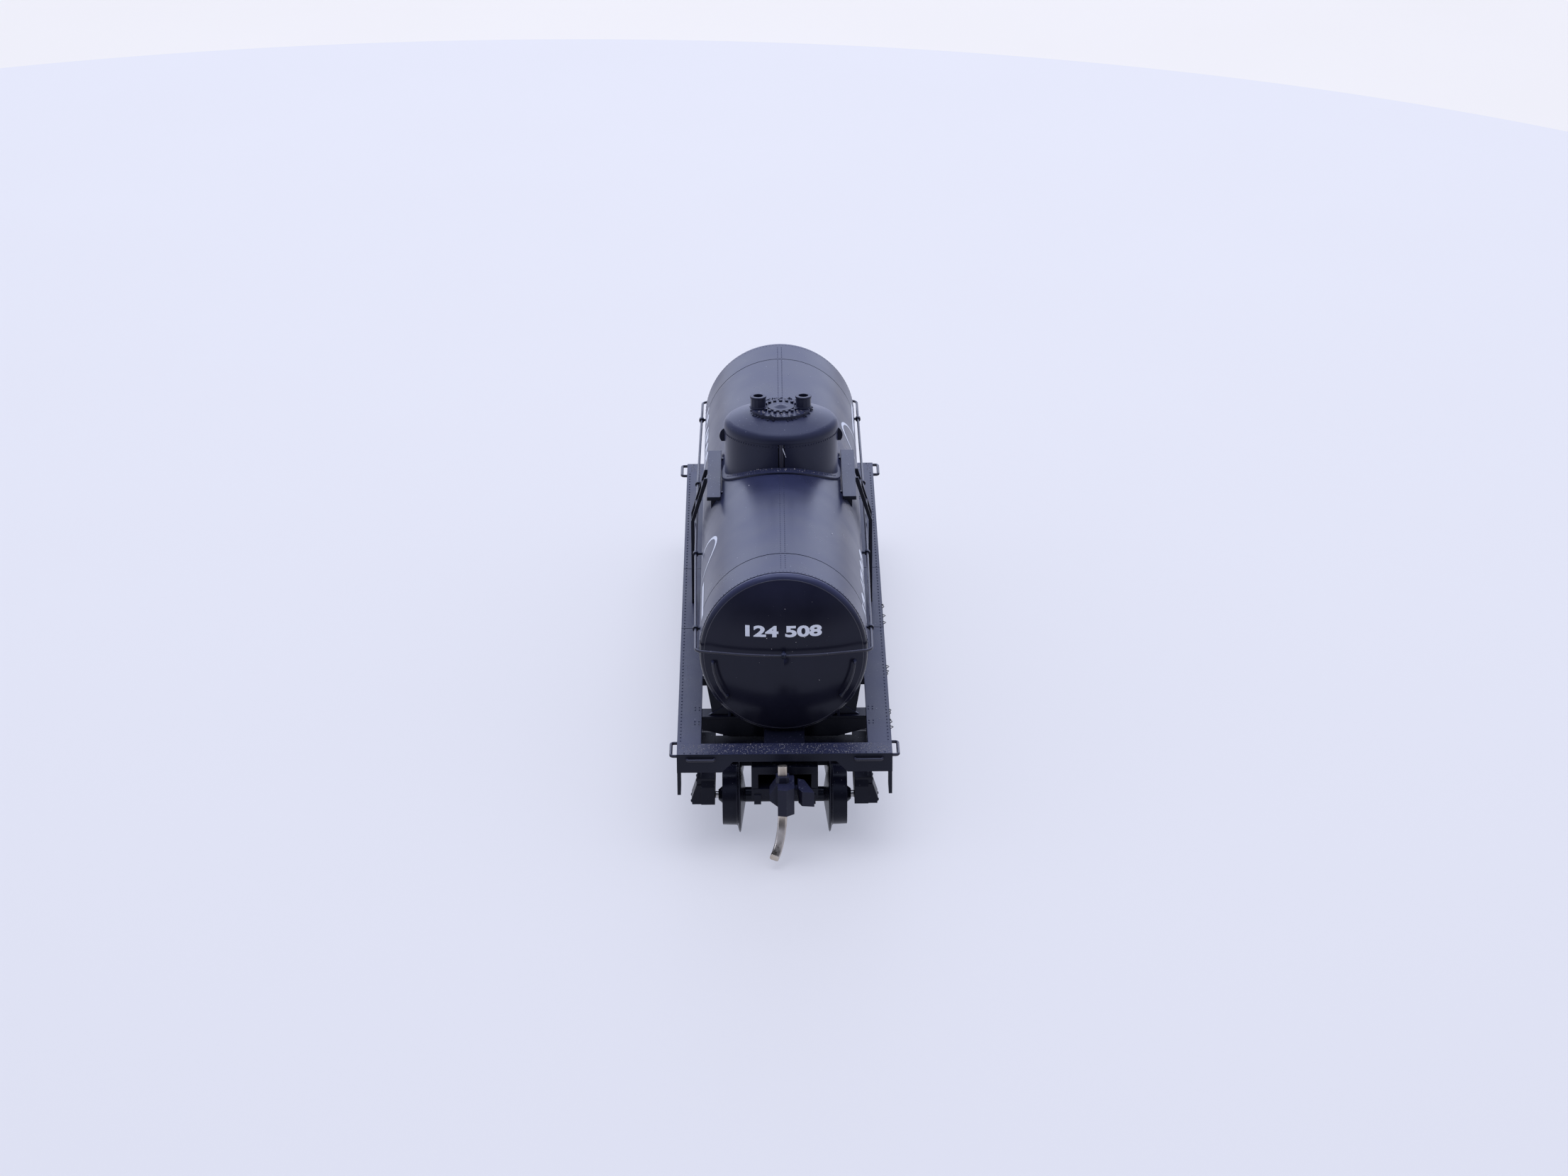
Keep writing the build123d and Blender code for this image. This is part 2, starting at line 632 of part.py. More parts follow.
SADDLE_HALF = 0.45
SADDLE_FOOT_Y = 6.26
SADDLE_TOP_Y = 7.2
SADDLE_TOP_Z = 14.0
RIB_Y = 4.75
RIB_THICKNESS = 0.25
RIB_TOP_Z = 9.6
GUSSET_TIP_Y = 6.6
RIB_REACH = 0.9
with BuildPart() as tank_saddles:
    for end in (-1, 1):
        saddle_x = end * BOLSTER_X
        gusset_x = end * (BOLSTER_X + SADDLE_HALF) - RIB_THICKNESS / 2
        for side in (-1, 1):
            outline(
                Plane.YZ.offset(saddle_x - SADDLE_HALF),
                [
                    (side * SILL_HALF, BOLSTER_TOP_Z),
                    (side * SADDLE_FOOT_Y, BOLSTER_TOP_Z),
                    (side * SADDLE_TOP_Y, SADDLE_TOP_Z),
                    (side * SILL_HALF, SADDLE_TOP_Z),
                ],
                2 * SADDLE_HALF,
            )
            outline(
                facing_side(side * RIB_Y + RIB_THICKNESS / 2),
                [
                    (saddle_x - RIB_REACH, BOLSTER_TOP_Z),
                    (saddle_x + RIB_REACH, BOLSTER_TOP_Z),
                    (saddle_x + SADDLE_HALF, RIB_TOP_Z),
                    (saddle_x - SADDLE_HALF, RIB_TOP_Z),
                ],
                RIB_THICKNESS,
            )
            outline(
                Plane.YZ.offset(gusset_x),
                [
                    (side * RIB_Y, BOLSTER_TOP_Z),
                    (side * GUSSET_TIP_Y, BOLSTER_TOP_Z),
                    (side * RIB_Y, RIB_TOP_Z),
                ],
                RIB_THICKNESS,
            )
    cut_tank()
save(tank_saddles, "tank_saddles")

BEARER_X = (-18.6, -9.3, 9.3, 18.6)
BEARER_HALF = 0.4
BEARER_BOTTOM_Z = 7.5
with BuildPart() as cross_bearers:
    for x in BEARER_X:
        for side in (-1, 1):
            block(
                (x - BEARER_HALF, x + BEARER_HALF),
                sorted((side * SILL_HALF, side * WEB_INNER_Y)),
                (BEARER_BOTTOM_Z, DECK_BOTTOM_Z),
            )
save(cross_bearers, "cross_bearers")

KINGPIN_BOTTOM_Z = 4.22
KINGPIN_HEAD_R = 1.2
KINGPIN_HEAD_Z = 3.7
with BuildPart() as kingpins:
    for truck_x in (-TRUCK_X, TRUCK_X):
        rod((truck_x, 0, KINGPIN_HEAD_Z), (truck_x, 0, KINGPIN_TOP_Z), KINGPIN_R)
        rod((truck_x, 0, KINGPIN_HEAD_Z), (truck_x, 0, KINGPIN_BOTTOM_Z), KINGPIN_HEAD_R)
save(kingpins, "kingpins")

# --- brake gear ---------------------------------------------------------------------------

GEAR_BRACKET_Z = (6.6, 7.0)
CYLINDER_X = (-8.0, -4.0)
CYLINDER_BRACKET_X = (-7.2, -6.0)
CYLINDER_Y = -4.2
CYLINDER_Z = 6.4
CYLINDER_R = 1.0
CYLINDER_FLANGE_R = 1.15
with BuildPart() as brake_cylinder:
    rod((CYLINDER_X[0], CYLINDER_Y, CYLINDER_Z), (CYLINDER_X[1], CYLINDER_Y, CYLINDER_Z), CYLINDER_R)
    rod(
        (CYLINDER_X[1] - 0.8, CYLINDER_Y, CYLINDER_Z),
        (CYLINDER_X[1] - 0.4, CYLINDER_Y, CYLINDER_Z),
        CYLINDER_FLANGE_R,
    )
    block(CYLINDER_BRACKET_X, (CYLINDER_Y, -SILL_HALF), GEAR_BRACKET_Z)
save(brake_cylinder, "brake_cylinder")

RESERVOIR_X = (1.8, 8.4)
RESERVOIR_BRACKETS_X = ((3.0, 3.8), (6.4, 7.2))
RESERVOIR_Y = 4.3
RESERVOIR_Z = 6.3
RESERVOIR_R = 1.25
RESERVOIR_ROUNDING = 0.5
with BuildPart() as air_reservoir:
    rod((RESERVOIR_X[0], RESERVOIR_Y, RESERVOIR_Z), (RESERVOIR_X[1], RESERVOIR_Y, RESERVOIR_Z), RESERVOIR_R)
    fillet(air_reservoir.edges().filter_by(GeomType.CIRCLE), RESERVOIR_ROUNDING)
    for bracket_x in RESERVOIR_BRACKETS_X:
        block(bracket_x, (SILL_HALF, RESERVOIR_Y), GEAR_BRACKET_Z)
save(air_reservoir, "air_reservoir")

BRAKE_ROD_R = 0.14
LEVER_X = (-3.2, -2.9)
LEVER_Y = (-5.8, -1.5)
LEVER_Z = (6.3, CENTRE_SILL_DEEP_Z)
FRONT_ROD_Y = -2.6
REAR_ROD_Y = -5.6
ROD_END_X = 18.6
HANGER_HALF = 0.15
with BuildPart() as brake_rods:
    block(LEVER_X, LEVER_Y, LEVER_Z)
    rod((CYLINDER_X[1], CYLINDER_Y, CYLINDER_Z), (LEVER_X[0], CYLINDER_Y, CYLINDER_Z), BRAKE_ROD_R)
    for rod_x, rod_y, lever_x in (
        (-ROD_END_X, REAR_ROD_Y, LEVER_X[0]),
        (ROD_END_X, FRONT_ROD_Y, LEVER_X[1]),
    ):
        rod((lever_x, rod_y, CYLINDER_Z), (rod_x, rod_y, CYLINDER_Z), BRAKE_ROD_R)
        block(
            (rod_x - HANGER_HALF, rod_x + HANGER_HALF),
            (rod_y - HANGER_HALF, rod_y + HANGER_HALF),
            (CYLINDER_Z - HANGER_HALF, BEARER_BOTTOM_Z),
        )
save(brake_rods, "brake_rods")

HAND_BRAKE_X = -36.1
HAND_BRAKE_Y = 3.0
HAND_BRAKE_Z = 13.8
STAFF_R = 0.16
HAND_WHEEL_R = 1.25
HAND_WHEEL_RIM_R = 0.13
SPOKE_R = 0.1
SPOKE_COUNT = 5
SPOKE_TURN = 0.3
HUB_HALF_HEIGHT = 0.2
with BuildPart() as hand_brake:
    rod((HAND_BRAKE_X, HAND_BRAKE_Y, DECK_Z), (HAND_BRAKE_X, HAND_BRAKE_Y, HAND_BRAKE_Z), STAFF_R)
    rod((HAND_BRAKE_X, HAND_BRAKE_Y, DECK_Z), (HAND_BRAKE_X, HAND_BRAKE_Y, DECK_Z + 0.4), 2 * STAFF_R)
    with Locations((HAND_BRAKE_X, HAND_BRAKE_Y, HAND_BRAKE_Z)):
        Torus(HAND_WHEEL_R, HAND_WHEEL_RIM_R)
    for spoke in range(SPOKE_COUNT):
        angle = SPOKE_TURN + spoke * 2 * pi / SPOKE_COUNT
        rod(
            (HAND_BRAKE_X, HAND_BRAKE_Y, HAND_BRAKE_Z),
            (
                HAND_BRAKE_X + HAND_WHEEL_R * cos(angle),
                HAND_BRAKE_Y + HAND_WHEEL_R * sin(angle),
                HAND_BRAKE_Z,
            ),
            SPOKE_R,
        )
    rod(
        (HAND_BRAKE_X, HAND_BRAKE_Y, HAND_BRAKE_Z - HUB_HALF_HEIGHT),
        (HAND_BRAKE_X, HAND_BRAKE_Y, HAND_BRAKE_Z + HUB_HALF_HEIGHT),
        2 * STAFF_R,
    )
save(hand_brake, "hand_brake")

# --- grab irons and steps at the corners --------------------------------------------------

CORNER_GRAB_X = (34.15, 37.0)
CORNER_GRAB_Y = 9.78
CORNER_GRAB_Z = 8.33
CORNER_GRAB_R = 0.14
GRAB_BEND_R = 0.25
with BuildPart() as corner_grabs:
    for side in (-1, 1):
        for end in (-1, 1):
            inner_x = end * CORNER_GRAB_X[0]
            outer_x = end * CORNER_GRAB_X[1]
            loop = [
                (inner_x, side * HALF_WIDTH, CORNER_GRAB_Z),
                (inner_x, side * CORNER_GRAB_Y, CORNER_GRAB_Z),
                (outer_x, side * CORNER_GRAB_Y, CORNER_GRAB_Z),
                (outer_x, side * HALF_WIDTH, CORNER_GRAB_Z),
            ]
            wire(loop, GRAB_BEND_R, CORNER_GRAB_R)
save(corner_grabs, "corner_grabs")

END_GRAB_Y = (6.05, 8.4)
END_GRAB_Z = 8.08
END_GRAB_REACH = 0.32
END_GRAB_R = 0.12
END_GRAB_BEND_R = 0.18
with BuildPart() as end_grabs:
    for side in (-1, 1):
        for end in (-1, 1):
            face_x = end * HALF_LENGTH
            bar_x = end * (HALF_LENGTH + END_GRAB_REACH)
            loop = [
                (face_x, side * END_GRAB_Y[0], END_GRAB_Z),
                (bar_x, side * END_GRAB_Y[0], END_GRAB_Z),
                (bar_x, side * END_GRAB_Y[1], END_GRAB_Z),
                (face_x, side * END_GRAB_Y[1], END_GRAB_Z),
            ]
            wire(loop, END_GRAB_BEND_R, END_GRAB_R)
save(end_grabs, "end_grabs")

STEP_X = (34.9, 37.1)
STEP_Y = (8.95, 9.25)
STEP_BOTTOM_Z = 4.75
STEP_SIDE = 0.3
with BuildPart() as stirrup_steps:
    for side in (-1, 1):
        for end in (-1, 1):
            step_y = sorted((side * STEP_Y[0], side * STEP_Y[1]))
            block(sorted((end * STEP_X[0], end * STEP_X[1])), step_y, (STEP_BOTTOM_Z, SILL_BOTTOM_Z))
            block(
                sorted((end * (STEP_X[0] + STEP_SIDE), end * (STEP_X[1] - STEP_SIDE))),
                step_y,
                (STEP_BOTTOM_Z + STEP_SIDE, SILL_BOTTOM_Z),
                mode=Mode.SUBTRACT,
            )
save(stirrup_steps, "stirrup_steps")

# --- trucks -------------------------------------------------------------------------------

TRUCK_BOLSTER_Z = (4.3, 6.1)
BOSS_R = 1.8
BOSS_TOP_Z = 6.42
ARM_HALF_WIDTH = 2.2
ARM_BOTTOM_Z = 4.6
KINGPIN_HOLE_R = 0.65
with BuildPart() as truck_bolster:
    block(
        (TRUCK_X - TRUCK_BOLSTER_HALF, TRUCK_X + TRUCK_BOLSTER_HALF),
        (-FRAME_INNER_Y, FRAME_INNER_Y),
        TRUCK_BOLSTER_Z,
    )
    block((TRUCK_X, BOX_REAR_X), (-ARM_HALF_WIDTH, ARM_HALF_WIDTH), (ARM_BOTTOM_Z, TRUCK_BOLSTER_Z[1]))
    rod((TRUCK_X, 0, TRUCK_BOLSTER_Z[0]), (TRUCK_X, 0, BOSS_TOP_Z), BOSS_R)
    rod((TRUCK_X, 0, TRUCK_BOLSTER_Z[0]), (TRUCK_X, 0, BOSS_TOP_Z), KINGPIN_HOLE_R, mode=Mode.SUBTRACT)
save_both_ends(truck_bolster, "truck_bolster")

FRAME_OUTER_Y = 7.25
FRAME_HALF_OUTLINE = [
    (0, 6.05),
    (2.2, 6.05),
    (4.4, 5.25),
    (6.0, 5.2),
    (6.3, 4.4),
    (6.3, 2.8),
    (4.2, 2.8),
    (2.3, 1.75),
    (0, 1.75),
]
SIDE_WINDOW = [(2.4, 2.85), (3.75, 3.45), (3.95, 4.45), (2.4, 5.05)]
SPRING_WINDOW_HALF = 1.7
SPRING_WINDOW_Z = (2.5, 5.2)
SPRING_STEP = 1.05
SPRING_GROUP_R = 0.45
SPRING_TOP_Z = 4.4
BOLSTER_END_HALF = 1.3
BOLSTER_END_Y = 7.45
JOURNAL_HALF = 0.95
JOURNAL_Z = (2.8, 4.6)
JOURNAL_OUTER_Y = 8.08
JOURNAL_LID_Z = 3.3
JOURNAL_LID_TOP_Y = 7.65
PEDESTAL_HALF = 0.85
PEDESTAL_TOP_Z = 5.2
PEDESTAL_OUTER_Y = 7.6
BEARING_R = 0.36
AXLE_OFFSETS = (-WHEELBASE / 2, WHEELBASE / 2)
with BuildPart() as side_frame:
    for way in (-1, 1):
        half = [(TRUCK_X + way * u, z) for u, z in FRAME_HALF_OUTLINE]
        outline(facing_side(FRAME_OUTER_Y), half, FRAME_OUTER_Y - FRAME_INNER_Y)
    for way in (-1, 1):
        window = [(TRUCK_X + way * u, z) for u, z in SIDE_WINDOW]
        outline(
            facing_side(FRAME_OUTER_Y), window, FRAME_OUTER_Y - FRAME_INNER_Y, mode=Mode.SUBTRACT
        )
    block(
        (TRUCK_X - SPRING_WINDOW_HALF, TRUCK_X + SPRING_WINDOW_HALF),
        (FRAME_INNER_Y, FRAME_OUTER_Y),
        SPRING_WINDOW_Z,
        mode=Mode.SUBTRACT,
    )
    for step in (-1, 0, 1):
        spring_x = TRUCK_X + step * SPRING_STEP
        spring_y = FRAME_OUTER_Y - SPRING_GROUP_R - 0.05
        rod((spring_x, spring_y, SPRING_WINDOW_Z[0]), (spring_x, spring_y, SPRING_TOP_Z), SPRING_GROUP_R)
    block(
        (TRUCK_X - SPRING_WINDOW_HALF, TRUCK_X + SPRING_WINDOW_HALF),
        (FRAME_INNER_Y, FRAME_OUTER_Y),
        (SPRING_TOP_Z, SPRING_TOP_Z + 0.25),
    )
    block(
        (TRUCK_X - BOLSTER_END_HALF, TRUCK_X + BOLSTER_END_HALF),
        (FRAME_INNER_Y, BOLSTER_END_Y),
        (SPRING_TOP_Z + 0.25, SPRING_WINDOW_Z[1]),
    )
    for offset in AXLE_OFFSETS:
        axle_x = TRUCK_X + offset
        outline(
            Plane.YZ.offset(axle_x - JOURNAL_HALF),
            [
                (FRAME_INNER_Y, JOURNAL_Z[0]),
                (JOURNAL_OUTER_Y - 0.05, JOURNAL_Z[0]),
                (JOURNAL_OUTER_Y, JOURNAL_LID_Z),
                (JOURNAL_LID_TOP_Y, JOURNAL_Z[1]),
                (FRAME_INNER_Y, JOURNAL_Z[1]),
            ],
            2 * JOURNAL_HALF,
        )
        block(
            (axle_x - PEDESTAL_HALF, axle_x + PEDESTAL_HALF),
            (FRAME_INNER_Y, PEDESTAL_OUTER_Y),
            (JOURNAL_Z[1], PEDESTAL_TOP_Z),
        )
        turned(
            axle_x,
            [(FRAME_INNER_Y, 0), (FRAME_INNER_Y, BEARING_R), (BEARING_TIP_Y, 0)],
            mode=Mode.SUBTRACT,
        )
with BuildPart() as far_side_frame:
    add(side_frame.part.mirror(Plane.XZ))
save(side_frame, "front_left_side_frame")
save(far_side_frame, "front_right_side_frame")
save(turned_round(side_frame), "rear_right_side_frame")
save(turned_round(far_side_frame), "rear_left_side_frame")

WHEEL_PROFILE = [
    (WHEEL_BACK_Y, SLEEVE_R),
    (3.80, 3.15),
    (3.88, FLANGE_R),
    (3.97, 3.20),
    (4.10, 2.72),
    (4.20, TREAD_R + 0.02),
    (WHEEL_FACE_Y - 0.02, TREAD_R - 0.02),
    (WHEEL_FACE_Y, TREAD_R - 0.1),
    (WHEEL_FACE_Y, 2.15),
    (WHEEL_FACE_Y - 0.35, 1.95),
    (WHEEL_FACE_Y - 0.35, 1.0),
    (WHEEL_FACE_Y, 0.74),
    (HUB_TIP_Y, 0.45),
]
for place, offset in (("inner", AXLE_OFFSETS[0]), ("outer", AXLE_OFFSETS[1])):
    axle_x = TRUCK_X + offset
    with BuildPart() as wheels:
        for side in (-1, 1):
            half = [(0, AXLE_R), (0, SLEEVE_R), *WHEEL_PROFILE, (HUB_TIP_Y, AXLE_R)]
            turned(axle_x, [(side * y, r) for y, r in half])
    save_both_ends(wheels, f"{place}_wheels")
    with BuildPart() as axle:
        turned(
            axle_x,
            [
                (-NEEDLE_TIP_Y, 0),
                (-AXLE_SHOULDER_Y, AXLE_R),
                (AXLE_SHOULDER_Y, AXLE_R),
                (NEEDLE_TIP_Y, 0),
            ],
        )
    save_both_ends(axle, f"{place}_axle")

# --- couplers -----------------------------------------------------------------------------

CAVITY_REAR_X = 32.0
with BuildPart() as coupler_box:
    block((BOX_REAR_X, BOX_FRONT_X), (-BOX_HALF_WIDTH, BOX_HALF_WIDTH), (BOX_SPLIT_Z, BOX_TOP_Z))
    block(
        (CAVITY_REAR_X, BOX_FRONT_X),
        (-CAVITY_HALF_WIDTH, CAVITY_HALF_WIDTH),
        (BOX_SPLIT_Z, CAVITY_TOP_Z),
        mode=Mode.SUBTRACT,
    )
save_both_ends(coupler_box, "coupler_box")

TAB_X = (36.5, 37.05)
TAB_Y = (2.05, 2.65)
TAB_Z = (3.78, 4.65)
with BuildPart() as box_cover:
    block((BOX_REAR_X, BOX_FRONT_X), (-BOX_HALF_WIDTH, BOX_HALF_WIDTH), (COVER_BOTTOM_Z, COVER_TOP_Z))
    for side in (-1, 1):
        block(TAB_X, sorted((side * TAB_Y[0], side * TAB_Y[1])), TAB_Z)
    rod((PIVOT_X, 0, COVER_TOP_Z), (PIVOT_X, 0, CAVITY_TOP_Z), POST_R)
save_both_ends(box_cover, "box_cover")

COIL_X = (32.08, 32.92)
COIL_Z = 5.85
COIL_R = 0.35
COIL_WIRE_R = 0.06
COIL_PITCH = 0.21
with BuildPart() as coupler_spring:
    with BuildLine() as coil:
        Helix(
            pitch=COIL_PITCH,
            height=COIL_X[1] - COIL_X[0],
            radius=COIL_R,
            center=(COIL_X[0], 0, COIL_Z),
            direction=(1, 0, 0),
        )
    with BuildSketch(Plane(origin=coil.line @ 0, z_dir=coil.line % 0)):
        Circle(COIL_WIRE_R)
    sweep(path=coil.line)
save_both_ends(coupler_spring, "coupler_spring")


def shank(heights, tip_x):
    """One half of the coupler's shank: an eye round the post and a bar to the front."""
    block((PIVOT_X, tip_x), (-SHANK_HALF_WIDTH, SHANK_HALF_WIDTH), heights)
    rod((PIVOT_X, 0, heights[0]), (PIVOT_X, 0, heights[1]), EYE_R)
    rod((PIVOT_X, 0, heights[0]), (PIVOT_X, 0, heights[1]), POST_R + FIT, mode=Mode.SUBTRACT)


GUARD_SHANK_TIP_X = 38.6
GUARD_WEB_X = (37.6, GUARD_SHANK_TIP_X)
GUARD_OUTLINE = [(38.0, 1.1), (38.25, 1.65), (41.1, 2.5), (40.95, 1.45), (40.2, 1.15), (39.0, 1.1)]
GUARD_WEB_Y = 1.65
GUARD_Z = (5.29, 6.6)
with BuildPart() as coupler_guard:
    shank(LOWER_SHANK_Z, GUARD_SHANK_TIP_X)
    block(GUARD_WEB_X, (0, GUARD_WEB_Y), LOWER_SHANK_Z)
    outline(
        Plane.XY.offset(GUARD_Z[0]),
        GUARD_OUTLINE,
        GUARD_Z[1] - GUARD_Z[0],
    )
save_both_ends(coupler_guard, "coupler_guard")

# The trip pin hangs straight down from the knuckle, then curls forward and sideways.
PIN_STRAIGHT_Z = 4.2
PIN_TIP = (42.2, -0.95, 1.05)
PIN_ROUNDING = 0.15
with BuildPart() as trip_pin:
    with BuildLine() as pin_path:
        Line((PIN_X, PIN_Y, PIN_TOP_Z), (PIN_X, PIN_Y, PIN_STRAIGHT_Z))
        TangentArc((PIN_X, PIN_Y, PIN_STRAIGHT_Z), PIN_TIP, tangent=(0, 0, -1))
    with BuildSketch(Plane((PIN_X, PIN_Y, PIN_TOP_Z), x_dir=(0, 1, 0), z_dir=(0, 0, -1))):
        RectangleRounded(PIN_WIDTH, PIN_THICKNESS, PIN_ROUNDING)
    sweep(path=pin_path.line)
save_both_ends(trip_pin, "trip_pin")

KNUCKLE_SHANK_TIP_X = 38.3
HEAD_X = (38.2, 40.15)
HEAD_SECTION = [
    (-1.32, 6.0),
    (-1.32, 5.45),
    (-0.63, 4.9),
    (0.8, 4.9),
    (0.8, 6.95),
    (-0.66, 6.95),
]
HEAD_LOWER_X = 38.75
KNUCKLE_OUTLINE = [(39.9, -0.62), (41.3, -0.62), (41.5, 0.1), (40.9, 0.8), (39.9, 0.8)]
KNUCKLE_Z = (4.54, 6.95)
BOSS_OUTLINE = [
    (38.78, -0.52),
    (38.98, -0.76),
    (39.72, -0.76),
    (39.94, -0.5),
    (39.94, 0.12),
    (39.7, 0.36),
    (39.0, 0.36),
    (38.78, 0.1),
]
BOSS_HEIGHT = 0.55
with BuildPart() as coupler_knuckle:
    outline(Plane.YZ.offset(HEAD_X[0]), HEAD_SECTION, HEAD_X[1] - HEAD_X[0])
    block(
        (HEAD_X[0], HEAD_LOWER_X),
        (-SHANK_HALF_WIDTH - 1, SHANK_HALF_WIDTH + 1),
        (HEAD_SECTION[2][1], UPPER_SHANK_Z[0]),
        mode=Mode.SUBTRACT,
    )
    shank(UPPER_SHANK_Z, KNUCKLE_SHANK_TIP_X)
    outline(Plane.XY.offset(KNUCKLE_Z[0]), KNUCKLE_OUTLINE, KNUCKLE_Z[1] - KNUCKLE_Z[0])
    outline(Plane.XY.offset(KNUCKLE_Z[1]), BOSS_OUTLINE, BOSS_HEIGHT)
    add(trip_pin.part, mode=Mode.SUBTRACT)
save_both_ends(coupler_knuckle, "coupler_knuckle")
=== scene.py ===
import json
import math
import random

import bmesh
import bpy
from mathutils import Matrix, Vector
from mathutils.bvhtree import BVHTree


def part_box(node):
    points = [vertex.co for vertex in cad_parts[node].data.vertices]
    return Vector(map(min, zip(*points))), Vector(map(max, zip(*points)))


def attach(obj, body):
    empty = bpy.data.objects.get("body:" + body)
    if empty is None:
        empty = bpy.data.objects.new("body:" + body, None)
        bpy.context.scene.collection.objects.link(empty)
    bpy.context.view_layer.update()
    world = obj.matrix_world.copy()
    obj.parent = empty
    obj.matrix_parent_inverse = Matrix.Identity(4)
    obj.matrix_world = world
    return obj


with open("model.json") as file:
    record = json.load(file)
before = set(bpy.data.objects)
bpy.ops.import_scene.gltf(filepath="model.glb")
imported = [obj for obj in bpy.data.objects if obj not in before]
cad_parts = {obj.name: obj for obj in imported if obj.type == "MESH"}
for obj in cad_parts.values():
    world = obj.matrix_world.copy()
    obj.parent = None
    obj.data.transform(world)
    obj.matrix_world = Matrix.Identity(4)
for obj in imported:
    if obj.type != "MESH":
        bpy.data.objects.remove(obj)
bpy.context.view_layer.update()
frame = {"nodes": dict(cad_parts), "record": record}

# Everything below is in metres, in the CAD's frame, unless a comment says millimetres.
# MM turns millimetres into metres.
MM = 0.001

tank_low, tank_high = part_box("tank_shell")
TANK_R = (tank_high.z - tank_low.z) / 2
TANK_Z = (tank_high.z + tank_low.z) / 2
SHELL_END = tank_high.x
dome_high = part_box("dome_shell")[1]
sill_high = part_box("left_side_sill")[1]
end_low, end_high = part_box("front_end_sill")
platform_low, platform_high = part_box("left_platform")
DOME_RIM_Z = dome_high.z
DECK_Z = sill_high.z

# The dome's wall, and the plate it stands on, which lies on the tank.
DOME_R = 5.2 * MM
BASE_PLATE_LIFT = 0.18 * MM
BASE_PLATE_X = 6.6 * MM

# The manhole's pad on top of the dome.
PAD_R = 2.7 * MM
PAD_TOP_Z = 27.2 * MM

ENDS = {"front": 1, "rear": -1}
SIDES = {"left": 1, "right": -1}
UP = Vector((0, 0, 1))


# --- camera and light ---------------------------------------------------------------------

PITCH = math.radians(21.109)
YAW = math.radians(-0.213)
ROLL = math.radians(-0.379)
CAMERA_X = 417.5 * MM
CAMERA_Y = -1.37 * MM
CAMERA_Z = 170.64 * MM

ahead = Vector(
    (-math.cos(PITCH) * math.cos(YAW), -math.cos(PITCH) * math.sin(YAW), -math.sin(PITCH))
)
right = ahead.cross(UP).normalized()
up = right.cross(ahead)
rolled_right = math.cos(ROLL) * right + math.sin(ROLL) * up
rolled_up = -math.sin(ROLL) * right + math.cos(ROLL) * up
camera = bpy.data.objects.new("camera", bpy.data.cameras.new("camera"))
bpy.context.scene.collection.objects.link(camera)
camera.data.lens = 110.5
camera.data.sensor_width = 36
camera.data.clip_start = 0.01
camera.data.clip_end = 20
camera.matrix_world = Matrix(
    (
        (rolled_right.x, rolled_up.x, -ahead.x, CAMERA_X),
        (rolled_right.y, rolled_up.y, -ahead.y, CAMERA_Y),
        (rolled_right.z, rolled_up.z, -ahead.z, CAMERA_Z),
        (0, 0, 0, 1),
    )
)
bpy.context.scene.camera = camera


def area_light(name, place, target, size, power, colour):
    """A square soft light that shines from a place towards a target."""
    data = bpy.data.lights.new(name, "AREA")
    data.shape = "SQUARE"
    data.size = size
    data.energy = power
    data.color = colour
    light = bpy.data.objects.new(name, data)
    light.location = place
    aim = Vector(target) - Vector(place)
    light.rotation_euler = aim.to_track_quat("-Z", "Y").to_euler()
    bpy.context.scene.collection.objects.link(light)


area_light(
    "overhead", place=(-0.12, 0.02, 0.62), target=(0, 0, 0), size=0.55, power=1.95,
    colour=(0.76, 0.82, 1.0),
)
area_light(
    "backdrop", place=(-0.75, 0.0, 0.30), target=(0, 0, 0.01), size=0.7, power=1.6,
    colour=(0.74, 0.80, 1.0),
)

world = bpy.data.worlds.new("studio")
bpy.context.scene.world = world
world.use_nodes = True
background = world.node_tree.nodes["Background"]
background.inputs["Color"].default_value = (0.70, 0.76, 1.0, 1)
bpy.context.scene.view_settings.view_transform = "Standard"

# The studio is bright all round, but the room low behind the camera is dark. The upper
# half of the tank's head mirrors it, and the lower half mirrors the table.
world_tree = world.node_tree
direction = world_tree.nodes.new("ShaderNodeTexCoord")
split = world_tree.nodes.new("ShaderNodeSeparateXYZ")
room = world_tree.nodes.new("ShaderNodeMapRange")
room.interpolation_type = "SMOOTHSTEP"
room.inputs["From Min"].default_value = 0.72
room.inputs["From Max"].default_value = 0.92
room.inputs["To Min"].default_value = 0.68
room.inputs["To Max"].default_value = 0.10
world_tree.links.new(direction.outputs["Generated"], split.inputs["Vector"])
world_tree.links.new(split.outputs["X"], room.inputs["Value"])
world_tree.links.new(room.outputs["Result"], background.inputs["Strength"])


# --- materials ----------------------------------------------------------------------------

# Edges of the mouldings look rounded to this radius.
EDGE_R = 0.07 * MM


def new_material(name):
    """An empty material with a Principled shader. Returns it with its node tree and shader."""
    material = bpy.data.materials.new(name)
    material.use_nodes = True
    tree = material.node_tree
    tree.nodes.clear()
    shader = tree.nodes.new("ShaderNodeBsdfPrincipled")
    output = tree.nodes.new("ShaderNodeOutputMaterial")
    tree.links.new(shader.outputs["BSDF"], output.inputs["Surface"])
    return material, tree, shader


def noise_node(tree, scale, detail=4.0, stretch=(1, 1, 1)):
    """Noise in the object's own coordinates. Scale is in cycles per metre."""
    coordinates = tree.nodes.new("ShaderNodeTexCoord")
    mapping = tree.nodes.new("ShaderNodeMapping")
    mapping.inputs["Scale"].default_value = stretch
    texture = tree.nodes.new("ShaderNodeTexNoise")
    texture.inputs["Scale"].default_value = scale
    texture.inputs["Detail"].default_value = detail
    tree.links.new(coordinates.outputs["Object"], mapping.inputs["Vector"])
    tree.links.new(mapping.outputs["Vector"], texture.inputs["Vector"])
    return texture.outputs["Fac"]


